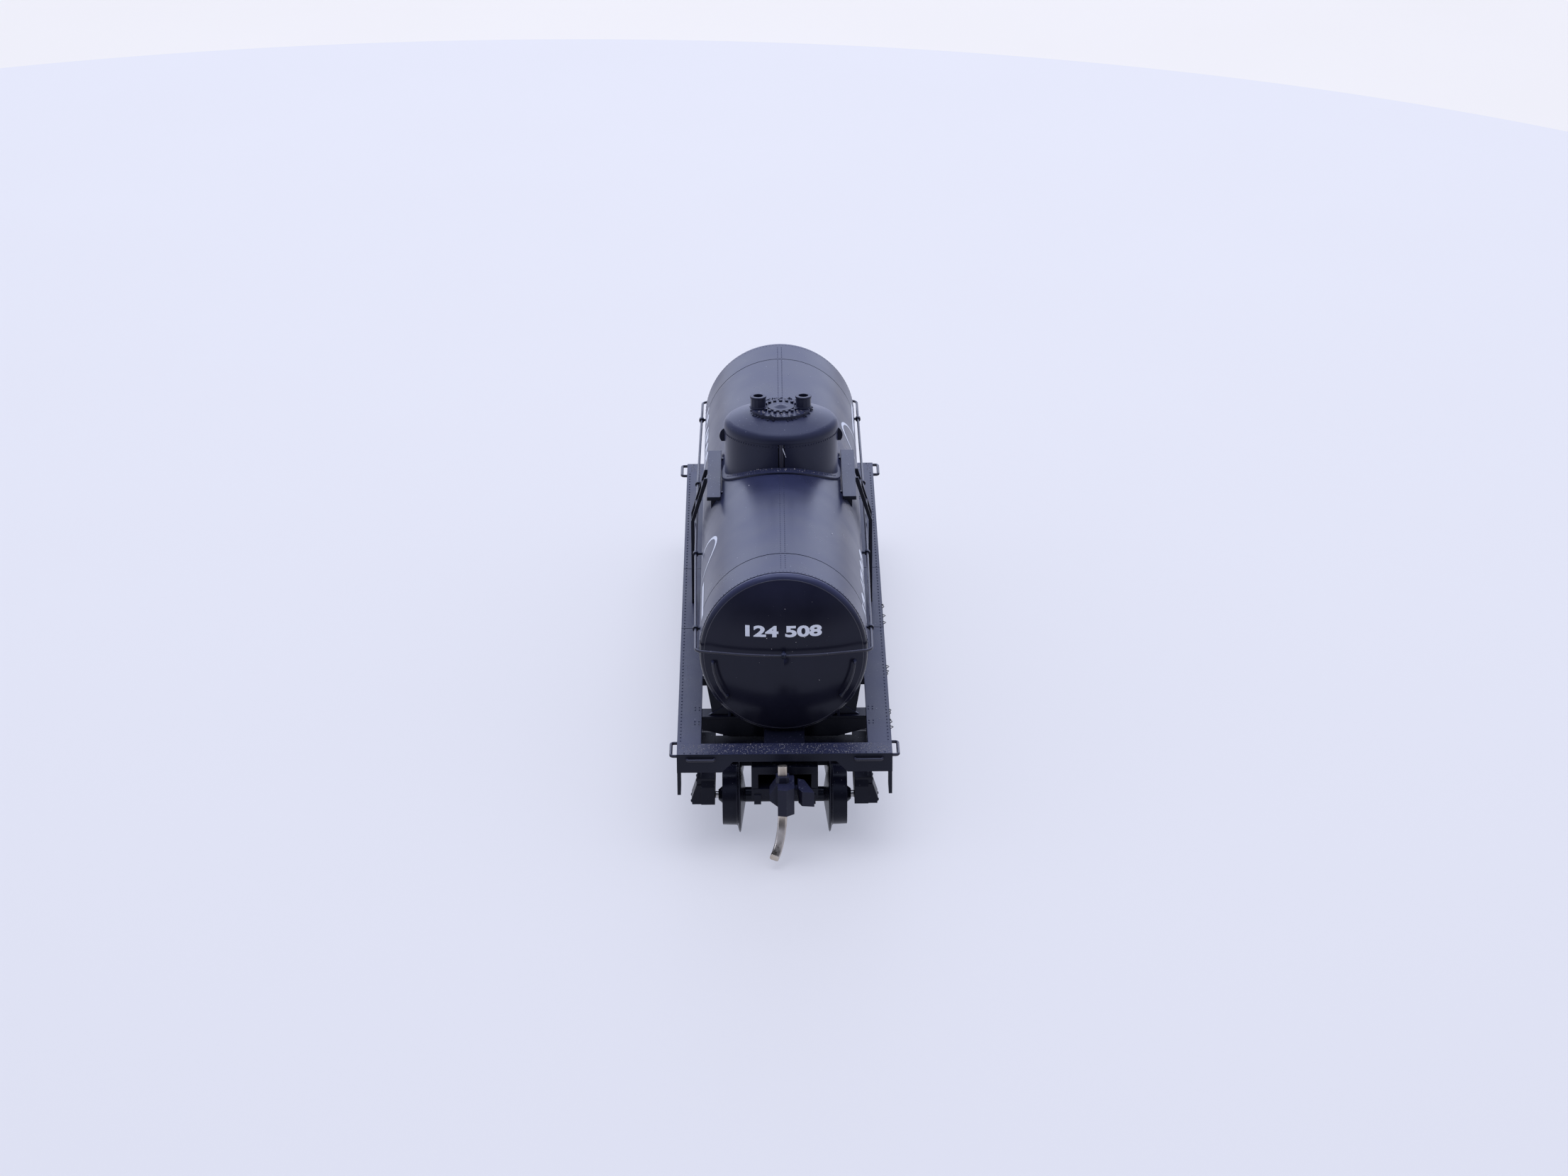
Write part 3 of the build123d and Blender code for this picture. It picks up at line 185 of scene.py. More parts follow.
def mapped(tree, value, low, high, out_low, out_high):
    """A value moved from one range to another, and kept inside it."""
    node = tree.nodes.new("ShaderNodeMapRange")
    node.inputs["From Min"].default_value = low
    node.inputs["From Max"].default_value = high
    node.inputs["To Min"].default_value = out_low
    node.inputs["To Max"].default_value = out_high
    tree.links.new(value, node.inputs["Value"])
    return node.outputs["Result"]


def product(tree, first, second):
    """Two values multiplied."""
    node = tree.nodes.new("ShaderNodeMath")
    node.operation = "MULTIPLY"
    tree.links.new(first, node.inputs[0])
    tree.links.new(second, node.inputs[1])
    return node.outputs["Value"]


def blended(tree, factor, first, second):
    """A colour between two. Each may be a plain colour or another node's output."""
    node = tree.nodes.new("ShaderNodeMix")
    node.data_type = "RGBA"
    tree.links.new(factor, node.inputs["Factor"])
    for socket, colour in (("A", first), ("B", second)):
        target = [s for s in node.inputs if s.name == socket and s.type == "RGBA"][0]
        if isinstance(colour, tuple):
            target.default_value = (*colour, 1)
        else:
            tree.links.new(colour, target)
    return [s for s in node.outputs if s.type == "RGBA"][0]


def bump(tree, shader, height, strength, distance, edge=0.0):
    """Fine relief on the shader's normal, over edges rounded to a radius."""
    node = tree.nodes.new("ShaderNodeBump")
    node.inputs["Strength"].default_value = strength
    node.inputs["Distance"].default_value = distance
    tree.links.new(height, node.inputs["Height"])
    if edge:
        rounded = tree.nodes.new("ShaderNodeBevel")
        rounded.samples = 6
        rounded.inputs["Radius"].default_value = edge
        tree.links.new(rounded.outputs["Normal"], node.inputs["Normal"])
    tree.links.new(node.outputs["Normal"], shader.inputs["Normal"])


def upward(tree):
    """How far the surface faces up: 0 on walls and undersides, 1 on flat tops."""
    geometry = tree.nodes.new("ShaderNodeNewGeometry")
    separate = tree.nodes.new("ShaderNodeSeparateXYZ")
    tree.links.new(geometry.outputs["Normal"], separate.inputs["Vector"])
    return mapped(tree, separate.outputs["Z"], 0.25, 1.0, 0.0, 1.0)


def plastic(name, dark, light, roughness, specular, dust, painted_reflection, grain=0.12, sheen=0.0):
    """Moulded black plastic, cloudy in tone, with loose specks of dust on top, and a painted
    bluish reflection of the overhead light on the surfaces that face up.

    A higher dust value gives more specks. The next value is how much of the tone the painted
    reflection may hide.
    """
    material, tree, shader = new_material(name)
    clouds = noise_node(tree, 260, 5)
    fine = noise_node(tree, 7000, 3)
    specks = noise_node(tree, 5200, 2)
    facing_up = upward(tree)
    tone = blended(tree, mapped(tree, clouds, 0.3, 0.7, 0, 1), dark, light)
    # Painted reflection: a bluish colour over surfaces that face up, standing in for the overhead
    # light that they mirror.
    painted_reflection_amount = product(tree, facing_up, mapped(tree, clouds, 0.25, 0.75, painted_reflection * 0.7, painted_reflection))
    with_painted_reflection = blended(tree, painted_reflection_amount, tone, (0.20, 0.22, 0.50))
    speck_mask = mapped(tree, specks, 0.70 - 0.05 * dust, 0.76 - 0.05 * dust, 0, 1)
    speck_amount = product(tree, speck_mask, mapped(tree, facing_up, 0, 1, 0.05, 0.75))
    dusted = blended(tree, speck_amount, with_painted_reflection, (0.36, 0.36, 0.42))
    tree.links.new(dusted, shader.inputs["Base Color"])
    rough = mapped(tree, clouds, 0.2, 0.8, roughness - 0.05, roughness + 0.06)
    tree.links.new(rough, shader.inputs["Roughness"])
    shader.inputs["Specular IOR Level"].default_value = specular
    shader.inputs["Specular Tint"].default_value = (0.78, 0.83, 1.0, 1)
    if sheen:
        shader.inputs["Sheen Weight"].default_value = sheen
        shader.inputs["Sheen Roughness"].default_value = 0.35
        shader.inputs["Sheen Tint"].default_value = (0.48, 0.54, 1.0, 1)
    bump(tree, shader, fine, grain, 0.012 * MM, EDGE_R)
    return material


def metal(name, dark, light, roughness, stretch):
    """Drawn wire or turned metal: streaks along its length and a little tarnish."""
    material, tree, shader = new_material(name)
    streaks = noise_node(tree, 2600, 4, stretch)
    tarnish = noise_node(tree, 700, 5)
    tone = blended(tree, mapped(tree, tarnish, 0.35, 0.65, 0, 1), dark, light)
    tree.links.new(tone, shader.inputs["Base Color"])
    rough = mapped(tree, streaks, 0.3, 0.7, roughness - 0.08, roughness + 0.12)
    tree.links.new(rough, shader.inputs["Roughness"])
    shader.inputs["Metallic"].default_value = 1.0
    bump(tree, shader, streaks, 0.2, 0.01 * MM, EDGE_R)
    return material


def paint(name, colour, worn):
    """A pale matt surface whose tone varies between two: print, grains of dust or lint."""
    material, tree, shader = new_material(name)
    cover = noise_node(tree, 3200, 6)
    tone = blended(tree, mapped(tree, cover, 0.30, 0.42, 0, 1), worn, colour)
    tree.links.new(tone, shader.inputs["Base Color"])
    rough = mapped(tree, cover, 0.2, 0.8, 0.40, 0.6)
    tree.links.new(rough, shader.inputs["Roughness"])
    bump(tree, shader, cover, 0.15, 0.01 * MM)
    return material


TANK = plastic(
    "tank_black", dark=(0.006, 0.007, 0.016), light=(0.010, 0.012, 0.027),
    roughness=0.30, specular=0.30, dust=-0.6, painted_reflection=0.15, sheen=0.10,
)
HEAD = plastic(
    "head_black", dark=(0.009, 0.009, 0.017), light=(0.0125, 0.0125, 0.023),
    roughness=0.22, specular=0.26, dust=-0.8, painted_reflection=0.24, grain=0.06,
)
DOME = plastic(
    "dome_black", dark=(0.015, 0.016, 0.032), light=(0.021, 0.023, 0.045),
    roughness=0.34, specular=0.30, dust=0.0, painted_reflection=0.09, sheen=0.15,
)
FRAME = plastic(
    "frame_black", dark=(0.006, 0.0065, 0.012), light=(0.011, 0.012, 0.021),
    roughness=0.38, specular=0.28, dust=-0.4, painted_reflection=0.14, grain=0.25, sheen=0.1,
)
DETAIL = plastic(
    "detail_black", dark=(0.005, 0.0055, 0.010), light=(0.009, 0.010, 0.017),
    roughness=0.36, specular=0.30, dust=0.3, painted_reflection=0.12, grain=0.15, sheen=0.06,
)
TRUCK = plastic(
    "truck_black", dark=(0.004, 0.004, 0.008), light=(0.008, 0.008, 0.014),
    roughness=0.40, specular=0.25, dust=0.4, painted_reflection=0.05, grain=0.25,
)
COUPLER = plastic(
    "coupler_black", dark=(0.009, 0.009, 0.018), light=(0.014, 0.014, 0.027),
    roughness=0.34, specular=0.30, dust=0.6, painted_reflection=0.07, grain=0.25,
)
WHEEL = plastic(
    "wheel_black", dark=(0.004, 0.0042, 0.009), light=(0.007, 0.007, 0.013),
    roughness=0.26, specular=0.22, dust=0.2, painted_reflection=0.04, grain=0.12,
)
WIRE = plastic(
    "rail_black", dark=(0.016, 0.0145, 0.018), light=(0.034, 0.031, 0.035),
    roughness=0.28, specular=0.45, dust=0.6, painted_reflection=0.10, grain=0.08,
)
# Lighter than the plastic it lies on, so that the heads' beads and the dome's lap strip show as
# light lines: a painted highlight.
PAINTED_HIGHLIGHT = plastic(
    "bead_painted_highlight", dark=(0.032, 0.031, 0.040), light=(0.055, 0.052, 0.062),
    roughness=0.18, specular=0.5, dust=-1.0, painted_reflection=0.10, grain=0.03,
)
# Near black, laid beside the dome's lap joint where a gap would be in shade: painted shade.
GAP_SHADE = plastic(
    "gap_painted_shade", dark=(0.001, 0.001, 0.002), light=(0.002, 0.002, 0.003),
    roughness=0.6, specular=0.1, dust=-1.0, painted_reflection=0.0, grain=0.05,
)
PIN = metal(
    "pin_metal", dark=(0.46, 0.40, 0.33), light=(0.66, 0.60, 0.53),
    roughness=0.30, stretch=(1, 1, 0.08),
)
AXLE = metal(
    "axle_steel", dark=(0.42, 0.41, 0.40), light=(0.62, 0.61, 0.60),
    roughness=0.26, stretch=(1, 0.1, 1),
)
SPRING = metal(
    "spring_bronze", dark=(0.45, 0.30, 0.16), light=(0.62, 0.45, 0.25),
    roughness=0.3, stretch=(1, 1, 1),
)
BALLAST = metal(
    "ballast_steel", dark=(0.25, 0.24, 0.23), light=(0.38, 0.37, 0.36),
    roughness=0.5, stretch=(0.1, 1, 1),
)
WHITE = paint("white_paint", (0.80, 0.82, 0.88), (0.78, 0.80, 0.87))
DUST = paint("dust_grains", (0.42, 0.39, 0.38), (0.13, 0.12, 0.125))
LINT = paint("lint_fibre", (0.80, 0.80, 0.84), (0.55, 0.55, 0.60))

# A node has its slot's material, unless it is named below.
slot_of = {s["node"]: s["material_slot"] for s in frame["record"]["subparts"]}
SLOT_MATERIALS = {
    "tank_plastic": TANK,
    "frame_plastic": FRAME,
    "detail_plastic": DETAIL,
    "truck_plastic": TRUCK,
    "coupler_plastic": COUPLER,
    "wheel_plastic": WHEEL,
    "rail_wire": WIRE,
    "pin_metal": PIN,
    "axle_steel": AXLE,
    "spring_bronze": SPRING,
    "ballast_steel": BALLAST,
}
NODE_MATERIALS = {
    "front_tank_head": HEAD,
    "rear_tank_head": HEAD,
    "dome_shell": DOME,
    "dome_lid": DOME,
    "manhole_cover": DOME,
    "manhole_bolts": DOME,
    "safety_valves": DOME,
    # The centre sill and bolsters lie under the tank. They take the truck's darker plastic, with
    # less painted reflection, as painted shade.
    "centre_sill": TRUCK,
    "front_bolster": TRUCK,
    "rear_bolster": TRUCK,
}
for name, node in frame["nodes"].items():
    material = NODE_MATERIALS.get(name) or SLOT_MATERIALS[slot_of[name]]
    node.data.materials.clear()
    node.data.materials.append(material)


# --- pieces -------------------------------------------------------------------------------

def new_object(name, vertices, faces, material, smooth=False):
    """A mesh object of one material, linked to the scene."""
    mesh = bpy.data.meshes.new(name)
    mesh.from_pydata(vertices, [], faces)
    mesh.materials.append(material)
    if smooth:
        mesh.polygons.foreach_set("use_smooth", [True] * len(mesh.polygons))
    item = bpy.data.objects.new(name, mesh)
    bpy.context.scene.collection.objects.link(item)
    return item


def add_piece(name, vertices, faces, material, body, smooth=False):
    """A mesh piece that rides on a body."""
    piece = new_object(name, vertices, faces, material, smooth)
    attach(piece, body)


def ring_faces(rings, steps, start=0):
    """Faces that join each closed ring of vertices to the next one."""
    faces = []
    for ring in range(rings - 1):
        for step in range(steps):
            a = start + ring * steps + step
            b = start + ring * steps + (step + 1) % steps
            faces.append((a, b, b + steps, a + steps))
    return faces


def across(normal):
    """Two directions square to a normal and to each other."""
    other = UP if abs(normal.z) < 0.9 else Vector((1, 0, 0))
    first = normal.cross(other).normalized()
    return first, normal.cross(first).normalized()


# Rings of a rivet's head: parts of its radius and of its height.
RIVET_RINGS = ((1.0, -0.3), (0.92, 0.35), (0.55, 0.85))
RIVET_STEPS = 8


def rivets(name, places, radius, height, material, body):
    """Round rivet heads. Each place is a point on a surface and the surface's normal."""
    vertices, faces = [], []
    for point, normal in places:
        first, second = across(normal)
        start = len(vertices)
        for wide, high in RIVET_RINGS:
            for step in range(RIVET_STEPS):
                angle = step * 2 * math.pi / RIVET_STEPS
                offset = first * math.cos(angle) + second * math.sin(angle)
                vertices.append(point + offset * radius * wide + normal * height * high)
        vertices.append(point + normal * height)
        faces += ring_faces(len(RIVET_RINGS), RIVET_STEPS, start)
        tip = len(vertices) - 1
        last_ring = tip - RIVET_STEPS
        for step in range(RIVET_STEPS):
            faces.append((last_ring + step, last_ring + (step + 1) % RIVET_STEPS, tip))
    add_piece(name, vertices, faces, material, body, smooth=True)


def tank_point(x, angle, lift=0.0):
    """A point on the tank's shell and its normal. The angle is from the +Y side, upwards."""
    normal = Vector((0, math.cos(angle), math.sin(angle)))
    centre = Vector((x, 0, TANK_Z))
    return centre + normal * (TANK_R + lift), normal


# Rivets along the top of the tank, in two rows on both sides of the dome.
ROW_START_X = 6.7 * MM
ROW_PITCH = 0.50 * MM
ROW_Y = 0.19 * MM
places = []
for end in (-1, 1):
    for step in range(int((SHELL_END - 7.0 * MM) / ROW_PITCH)):
        x = end * (ROW_START_X + step * ROW_PITCH)
        for y in (-ROW_Y, ROW_Y):
            places.append(tank_point(x, math.acos(y / TANK_R)))
rivets("rivets_tank_top", places, 0.056 * MM, 0.028 * MM, TANK, "wagon")

# Rivets round the tank beside each head.
RING_COUNT = 144
RING_IN_FROM_END = 0.22 * MM
places = []
for end in (-1, 1):
    for step in range(RING_COUNT):
        angle = math.radians(-90 + step * 360 / RING_COUNT)
        places.append(tank_point(end * (SHELL_END - RING_IN_FROM_END), angle))
rivets("rivets_tank_rings", places, 0.055 * MM, 0.02 * MM, TANK, "wagon")


def even_row(count, pitch):
    """Places along a row, in metres from its middle. The pitch is in millimetres."""
    return [(step - (count - 1) / 2) * pitch * MM for step in range(count)]


# Rivets along the outer edge of both running boards and of the end sills, and groups of
# eight on the boards over the bolsters. The groups' distances are in millimetres.
BOARD_ROW_Y = 8.98 * MM
GROUP_X = (26.6, 27.2, 29.8, 30.4)
GROUP_Y = (7.42, 7.78)
places = []
for side in (-1, 1):
    for x in even_row(92, 0.75):
        places.append((Vector((x, side * BOARD_ROW_Y, DECK_Z)), UP))
    for end in (-1, 1):
        for x in GROUP_X:
            for y in GROUP_Y:
                places.append((Vector((end * x * MM, side * y * MM, DECK_Z)), UP))
for end in (-1, 1):
    for y in even_row(33, 0.54):
        places.append((Vector((end * (end_high.x - 0.3 * MM), y, DECK_Z)), UP))
rivets("rivets_deck", places, 0.075 * MM, 0.05 * MM, FRAME, "wagon")

# Rivets round the dome, under its rim.
RIM_COUNT = 112
places = []
for step in range(RIM_COUNT):
    angle = step * 2 * math.pi / RIM_COUNT
    normal = Vector((math.cos(angle), math.sin(angle), 0))
    places.append((normal * DOME_R + Vector((0, 0, DOME_RIM_Z - 0.25 * MM)), normal))
rivets("rivets_dome_rim", places, 0.085 * MM, 0.05 * MM, DOME, "wagon")

# Rivets on the dome's base plate, left out where the plate runs steeply down the tank.
BASE_COUNT = 96
BASE_ROW_X = 5.72 * MM
BASE_ROW_Y = 5.34 * MM
places = []
for step in range(BASE_COUNT):
    angle = step * 2 * math.pi / BASE_COUNT
    x = BASE_ROW_X * math.cos(angle)
    y = BASE_ROW_Y * math.sin(angle)
    if abs(y) < 5.0 * MM:
        turn = math.acos(y / (TANK_R + BASE_PLATE_LIFT))
        places.append(tank_point(x, turn, BASE_PLATE_LIFT))
rivets("rivets_dome_base", places, 0.068 * MM, 0.038 * MM, DOME, "wagon")


def tank_band(name, rings, material, steps=192):
    """A band round the tank's axis. Each ring is a distance along X and a radius."""
    vertices = []
    for x, radius in rings:
        for step in range(steps):
            angle = step * 2 * math.pi / steps
            vertices.append((x, radius * math.cos(angle), TANK_Z + radius * math.sin(angle)))
    faces = ring_faces(len(rings), steps)
    add_piece(name, vertices, faces, material, "wagon", smooth=True)


# A fine moulded line where each head's rounded shoulder meets its shallow crown, in a lighter
# glossy material that paints a highlight along it.
BEAD_X = 32.03 * MM
BEAD_R = 6.885 * MM
BEAD_SIZE = 0.035 * MM
for end_name, end in ENDS.items():
    profile = []
    for step in range(7):
        angle = math.radians(-70 + step * 30)
        x = end * (BEAD_X + BEAD_SIZE * math.cos(angle))
        profile.append((x, BEAD_R + BEAD_SIZE * math.sin(angle)))
    tank_band(f"{end_name}_head_bead", profile, PAINTED_HIGHLIGHT)


# Small round feet where the handholds meet the heads.
FOOT_X = 32.4 * MM
FOOT_R = 6.15 * MM
FOOT_ANGLES = (math.radians(-5), math.radians(-37))
places = []
for end in (-1, 1):
    for side in (-1, 1):
        for angle in FOOT_ANGLES:
            y = side * FOOT_R * math.cos(angle)
            foot = Vector((end * FOOT_X, y, TANK_Z + FOOT_R * math.sin(angle)))
            places.append((foot, Vector((end, 0, 0))))
rivets("handhold_feet", places, 0.19 * MM, 0.40 * MM, DETAIL, "wagon")


# The springs' coils, in millimetres: the radius of a spring, the bulge and half the height
# of its wire, and the step from turn to turn.
COIL_R = 0.43
COIL_BULGE = 0.06
COIL_HALF_HEIGHT = 0.07
COIL_PITCH = 0.29
COIL_TURNS = 6
COIL_RINGS = 4
COIL_STEPS = 20


def spring_coils(name, centres, body):
    """Turns of wire round the spring groups of one side frame."""
    vertices, faces = [], []
    for centre in centres:
        for turn in range(COIL_TURNS):
            start = len(vertices)
            for ring in range(COIL_RINGS):
                angle = ring * math.pi / (COIL_RINGS - 1)
                radius = (COIL_R + COIL_BULGE * math.sin(angle)) * MM
                height = centre.z + (COIL_PITCH * turn + COIL_HALF_HEIGHT * math.cos(angle)) * MM
                for step in range(COIL_STEPS):
                    around = step * 2 * math.pi / COIL_STEPS
                    x = centre.x + radius * math.cos(around)
                    vertices.append((x, centre.y + radius * math.sin(around), height))
            faces += ring_faces(COIL_RINGS, COIL_STEPS, start)
    add_piece(name, vertices, faces, TRUCK, body, smooth=True)


# Coils on the spring groups of both trucks, and bolts on their journal boxes and frames.
# These are in millimetres. A bolt's first number is along the wagon, from the axle for a
# journal box and from the truck's middle for a frame. The others are out and up.
TRUCK_X = 28.5
AXLE_FROM_MIDDLE = 5.24
SPRINGS_X = (-1.05, 0, 1.05)
SPRINGS_Y = 6.75
SPRINGS_Z = 2.68
JOURNAL_BOLTS = ((-0.68, 8.07, 3.05), (0.68, 8.07, 3.05), (-0.5, 7.6, 4.9), (0.5, 7.6, 4.9))
FRAME_BOLTS = ((-0.8, 7.45, 4.93), (0.8, 7.45, 4.93), (-2.0, 7.25, 5.6), (2.0, 7.25, 5.6))
for end_name, end in ENDS.items():
    body = f"{end_name}_truck"
    truck_x = end * TRUCK_X
    for side_name, side in SIDES.items():
        centres = [
            Vector(((truck_x + u) * MM, side * SPRINGS_Y * MM, SPRINGS_Z * MM)) for u in SPRINGS_X
        ]
        spring_coils(f"{end_name}_{side_name}_spring_coils", centres, body)
        outward = Vector((0, side, 0))
        places = []
        for journal_x in (truck_x - AXLE_FROM_MIDDLE, truck_x + AXLE_FROM_MIDDLE):
            for u, y, z in JOURNAL_BOLTS:
                places.append((Vector(((journal_x + u) * MM, side * y * MM, z * MM)), outward))
        for u, y, z in FRAME_BOLTS:
            places.append((Vector(((truck_x + u) * MM, side * y * MM, z * MM)), outward))
        name = f"{end_name}_{side_name}_truck_bolts"
        rivets(name, places, 0.16 * MM, 0.1 * MM, TRUCK, body)


def dome_strip(name, middle, half_width, lift, material):
    """An upright strip on the dome's front wall. Middle is its distance to the left."""
    vertices, faces = [], []
    rows, columns = 8, 4
    across_row = columns + 1
    low_z = tank_high.z + 0.22 * MM
    high_z = DOME_RIM_Z - 0.02 * MM
    for row in range(rows + 1):
        z = low_z + (high_z - low_z) * row / rows
        for column in range(across_row):
            y = middle + half_width * (2 * column / columns - 1)
            crown = lift * (1 if 0 < column < columns else 0.2)
            vertices.append((math.sqrt((DOME_R + crown) ** 2 - y**2), y, z))
    for row in range(rows):
        for column in range(columns):
            a = row * across_row + column
            faces.append((a, a + 1, a + across_row + 1, a + across_row))
    add_piece(name, vertices, faces, material, "wagon", smooth=True)


# Rounded treads on both platforms, with a fine lip along their inner edge. A bar's numbers
# are its inner and outer side, its underside and its top, in millimetres.
TREAD_BARS = ((5.55, 6.80, 20.50, 20.815), (5.55, 5.63, 20.7, 20.86))
TREAD_LENGTH = 2 * platform_high.x + 0.03 * MM
TREAD_EDGE = 0.025 * MM
for side_name, side in SIDES.items():
    shape = bmesh.new()
    for inner_y, outer_y, low_z, high_z in TREAD_BARS:
        corners = bmesh.ops.create_cube(shape, size=1.0)["verts"]
        size = Vector((TREAD_LENGTH, (outer_y - inner_y) * MM, (high_z - low_z) * MM))
        middle = Vector((0, side * (inner_y + outer_y) / 2 * MM, (low_z + high_z) / 2 * MM))
        for corner in corners:
            corner.co = middle + Vector(a * b for a, b in zip(corner.co, size))
    bmesh.ops.bevel(shape, geom=shape.edges, offset=TREAD_EDGE, segments=2, affect="EDGES")
    shape.verts.index_update()
    vertices = [v.co.copy() for v in shape.verts]
    faces = [tuple(v.index for v in f.verts) for f in shape.faces]
    shape.free()
    add_piece(f"{side_name}_platform_tread", vertices, faces, DETAIL, "wagon")


# The dome's lap joint: a smooth strip, lighter than the dome as a painted highlight, with a
# near-black strip along each side as painted shade in the gaps.
dome_strip("dome_lap", 0.0, 0.2 * MM, 0.095 * MM, PAINTED_HIGHLIGHT)
for side_name, side in SIDES.items():
    dome_strip(f"dome_lap_{side_name}_gap", side * 0.245 * MM, 0.045 * MM, 0.012 * MM, GAP_SHADE)


# --- lettering, replaced with plain digits and shapes -------------------------------------

def flat_digits(text, height, width):
    """Plain digits as a flat, finely divided mesh, centred, with a given height and width."""
    curve = bpy.data.curves.new("digits", "FONT")
    curve.body = text
    curve.size = 1.0
    curve.offset = 0.04
    curve.resolution_u = 4
    carrier = bpy.data.objects.new("digits", curve)
    bpy.context.scene.collection.objects.link(carrier)
    bpy.context.view_layer.update()
    graph = bpy.context.evaluated_depsgraph_get()
    mesh = bpy.data.meshes.new_from_object(carrier.evaluated_get(graph))
    bpy.data.objects.remove(carrier)
    shape = bmesh.new()
    shape.from_mesh(mesh)
    bmesh.ops.triangulate(shape, faces=shape.faces)
    for _ in range(2):
        bmesh.ops.subdivide_edges(shape, edges=shape.edges, cuts=1, use_grid_fill=False)
        bmesh.ops.triangulate(shape, faces=shape.faces)
    low_x = min(v.co.x for v in shape.verts)
    high_x = max(v.co.x for v in shape.verts)
    low_y = min(v.co.y for v in shape.verts)
    high_y = max(v.co.y for v in shape.verts)
    points = [
        (
            ((v.co.x - low_x) / (high_x - low_x) - 0.5) * width,
            ((v.co.y - low_y) / (high_y - low_y) - 0.5) * height,
        )
        for v in shape.verts
    ]
    shape.verts.index_update()
    faces = [tuple(v.index for v in f.verts) for f in shape.faces]
    shape.free()
    return points, faces


# Paint lies this far off the plastic. Rays that look for a head start well beyond it.
PAINT_LIFT = 0.012 * MM
RAY_START_X = 0.05
NUMBER_Z = 18.3 * MM
head_faces = {}
for end_name, end in ENDS.items():
    head = frame["nodes"][f"{end_name}_tank_head"]
    tree_of_faces = BVHTree.FromPolygons(
        [v.co for v in head.data.vertices], [tuple(p.vertices) for p in head.data.polygons]
    )
    head_faces[end] = tree_of_faces
    points, faces = flat_digits("124 508", height=1.0 * MM, width=6.6 * MM)
    wrapped = []
    for u, v in points:
        start = Vector((end * RAY_START_X, end * u, NUMBER_Z + v))
        hit = tree_of_faces.ray_cast(start, Vector((-end, 0, 0)))[0]
        wrapped.append(hit + Vector((end * PAINT_LIFT, 0, 0)))
    add_piece(f"{end_name}_number", wrapped, faces, WHITE, "wagon")


def side_paint(name, side, points, faces):
    """A flat shape wrapped on one side of the tank: u runs to the reader's right, v up."""
    wrapped = []
    for u, v in points:
        angle = v / TANK_R
        x = -side * u
        y = side * (TANK_R + PAINT_LIFT) * math.cos(angle)
        wrapped.append(Vector((x, y, TANK_Z + (TANK_R + PAINT_LIFT) * math.sin(angle))))
    add_piece(name, wrapped, faces, WHITE, "wagon")


def ring_shape(centre, outer, inner, steps=96):
    """A flat ring between two circles of given radius."""
    points, faces = [], []
    for step in range(steps):
        angle = step * 2 * math.pi / steps
        for radius in (outer, inner):
            u = centre[0] + radius * math.cos(angle)
            points.append((u, centre[1] + radius * math.sin(angle)))
    for step in range(steps):
        a = 2 * step
        b = 2 * ((step + 1) % steps)
        faces.append((a, b, b + 1, a + 1))
    return points, faces


def bar_shape(low, high, rows=6):
    """A flat upright-edged bar, divided so that it bends round the tank."""
    points, faces = [], []
    for row in range(rows + 1):
        v = low[1] + (high[1] - low[1]) * row / rows
        points += [(low[0], v), (high[0], v)]
    for row in range(rows):
        a = 2 * row
        faces.append((a, a + 1, a + 3, a + 2))
    return points, faces


# On each side: a number, and to its right a ring, a thick bar and three thinner lines.
BARS_START = 20.2 * MM
for side_name, side in SIDES.items():
    points, faces = flat_digits("124508", height=3.6 * MM, width=15.0 * MM)
    placed = [(u - 19.5 * MM, v + 0.75 * MM) for u, v in points]
    side_paint(f"{side_name}_side_number", side, placed, faces)
    points, faces = ring_shape((15.4 * MM, 1.5 * MM), outer=3.3 * MM, inner=2.98 * MM)
    side_paint(f"{side_name}_side_ring", side, points, faces)
    points, faces = bar_shape((BARS_START, 1.7 * MM), (28.3 * MM, 2.3 * MM))
    side_paint(f"{side_name}_side_bar", side, points, faces)
    for row in range(3):
        v = (-0.4 - 0.75 * row) * MM
        line_end = ((25.5 - 1.2 * row) * MM, v + 0.28 * MM)
        points, faces = bar_shape((BARS_START, v), line_end, rows=2)
        side_paint(f"{side_name}_side_line_{row}", side, points, faces)


# --- dust and lint ------------------------------------------------------------------------

chance = random.Random(7)
GRAIN_STEPS = 5


def grains(name, places, smallest, largest, material=DUST):
    """Loose grains of dust: small uneven lumps lying on a surface."""
    vertices, faces = [], []
    for point, normal in places:
        first, second = across(normal)
        size = smallest + (largest - smallest) * chance.random() ** 3
        turn = chance.uniform(0, math.pi)
        start = len(vertices)
        for step in range(GRAIN_STEPS):
            angle = turn + step * 2 * math.pi / GRAIN_STEPS
            reach = size * chance.uniform(0.6, 1.2)
            offset = first * math.cos(angle) + second * math.sin(angle)
            vertices.append(point + offset * reach + normal * size * 0.1)
        vertices.append(point + normal * size * chance.uniform(0.7, 1.3))
        vertices.append(point - normal * size * 0.3)
        top = start + GRAIN_STEPS
        bottom = top + 1
        for step in range(GRAIN_STEPS):
            following = start + (step + 1) % GRAIN_STEPS
            faces.append((start + step, following, top))
            faces.append((following, start + step, bottom))
    add_piece(name, vertices, faces, material, "wagon")


def round_place(reach, angle, height):
    """A place that faces up on the dome: its distance from the axis, angle and height."""
    return Vector((reach * math.cos(angle), reach * math.sin(angle), height)), UP


# Dust on the decks of the end sills and on the running boards.
places = []
for end in (-1, 1):
    for _ in range(1300):
        x = end * chance.uniform(end_low.x + 0.1 * MM, end_high.x - 0.1 * MM)
        y = chance.uniform(end_low.y + 0.2 * MM, end_high.y - 0.2 * MM)
        places.append((Vector((x, y, DECK_Z)), UP))
grains("dust_on_end_sills", places, 0.014 * MM, 0.058 * MM)

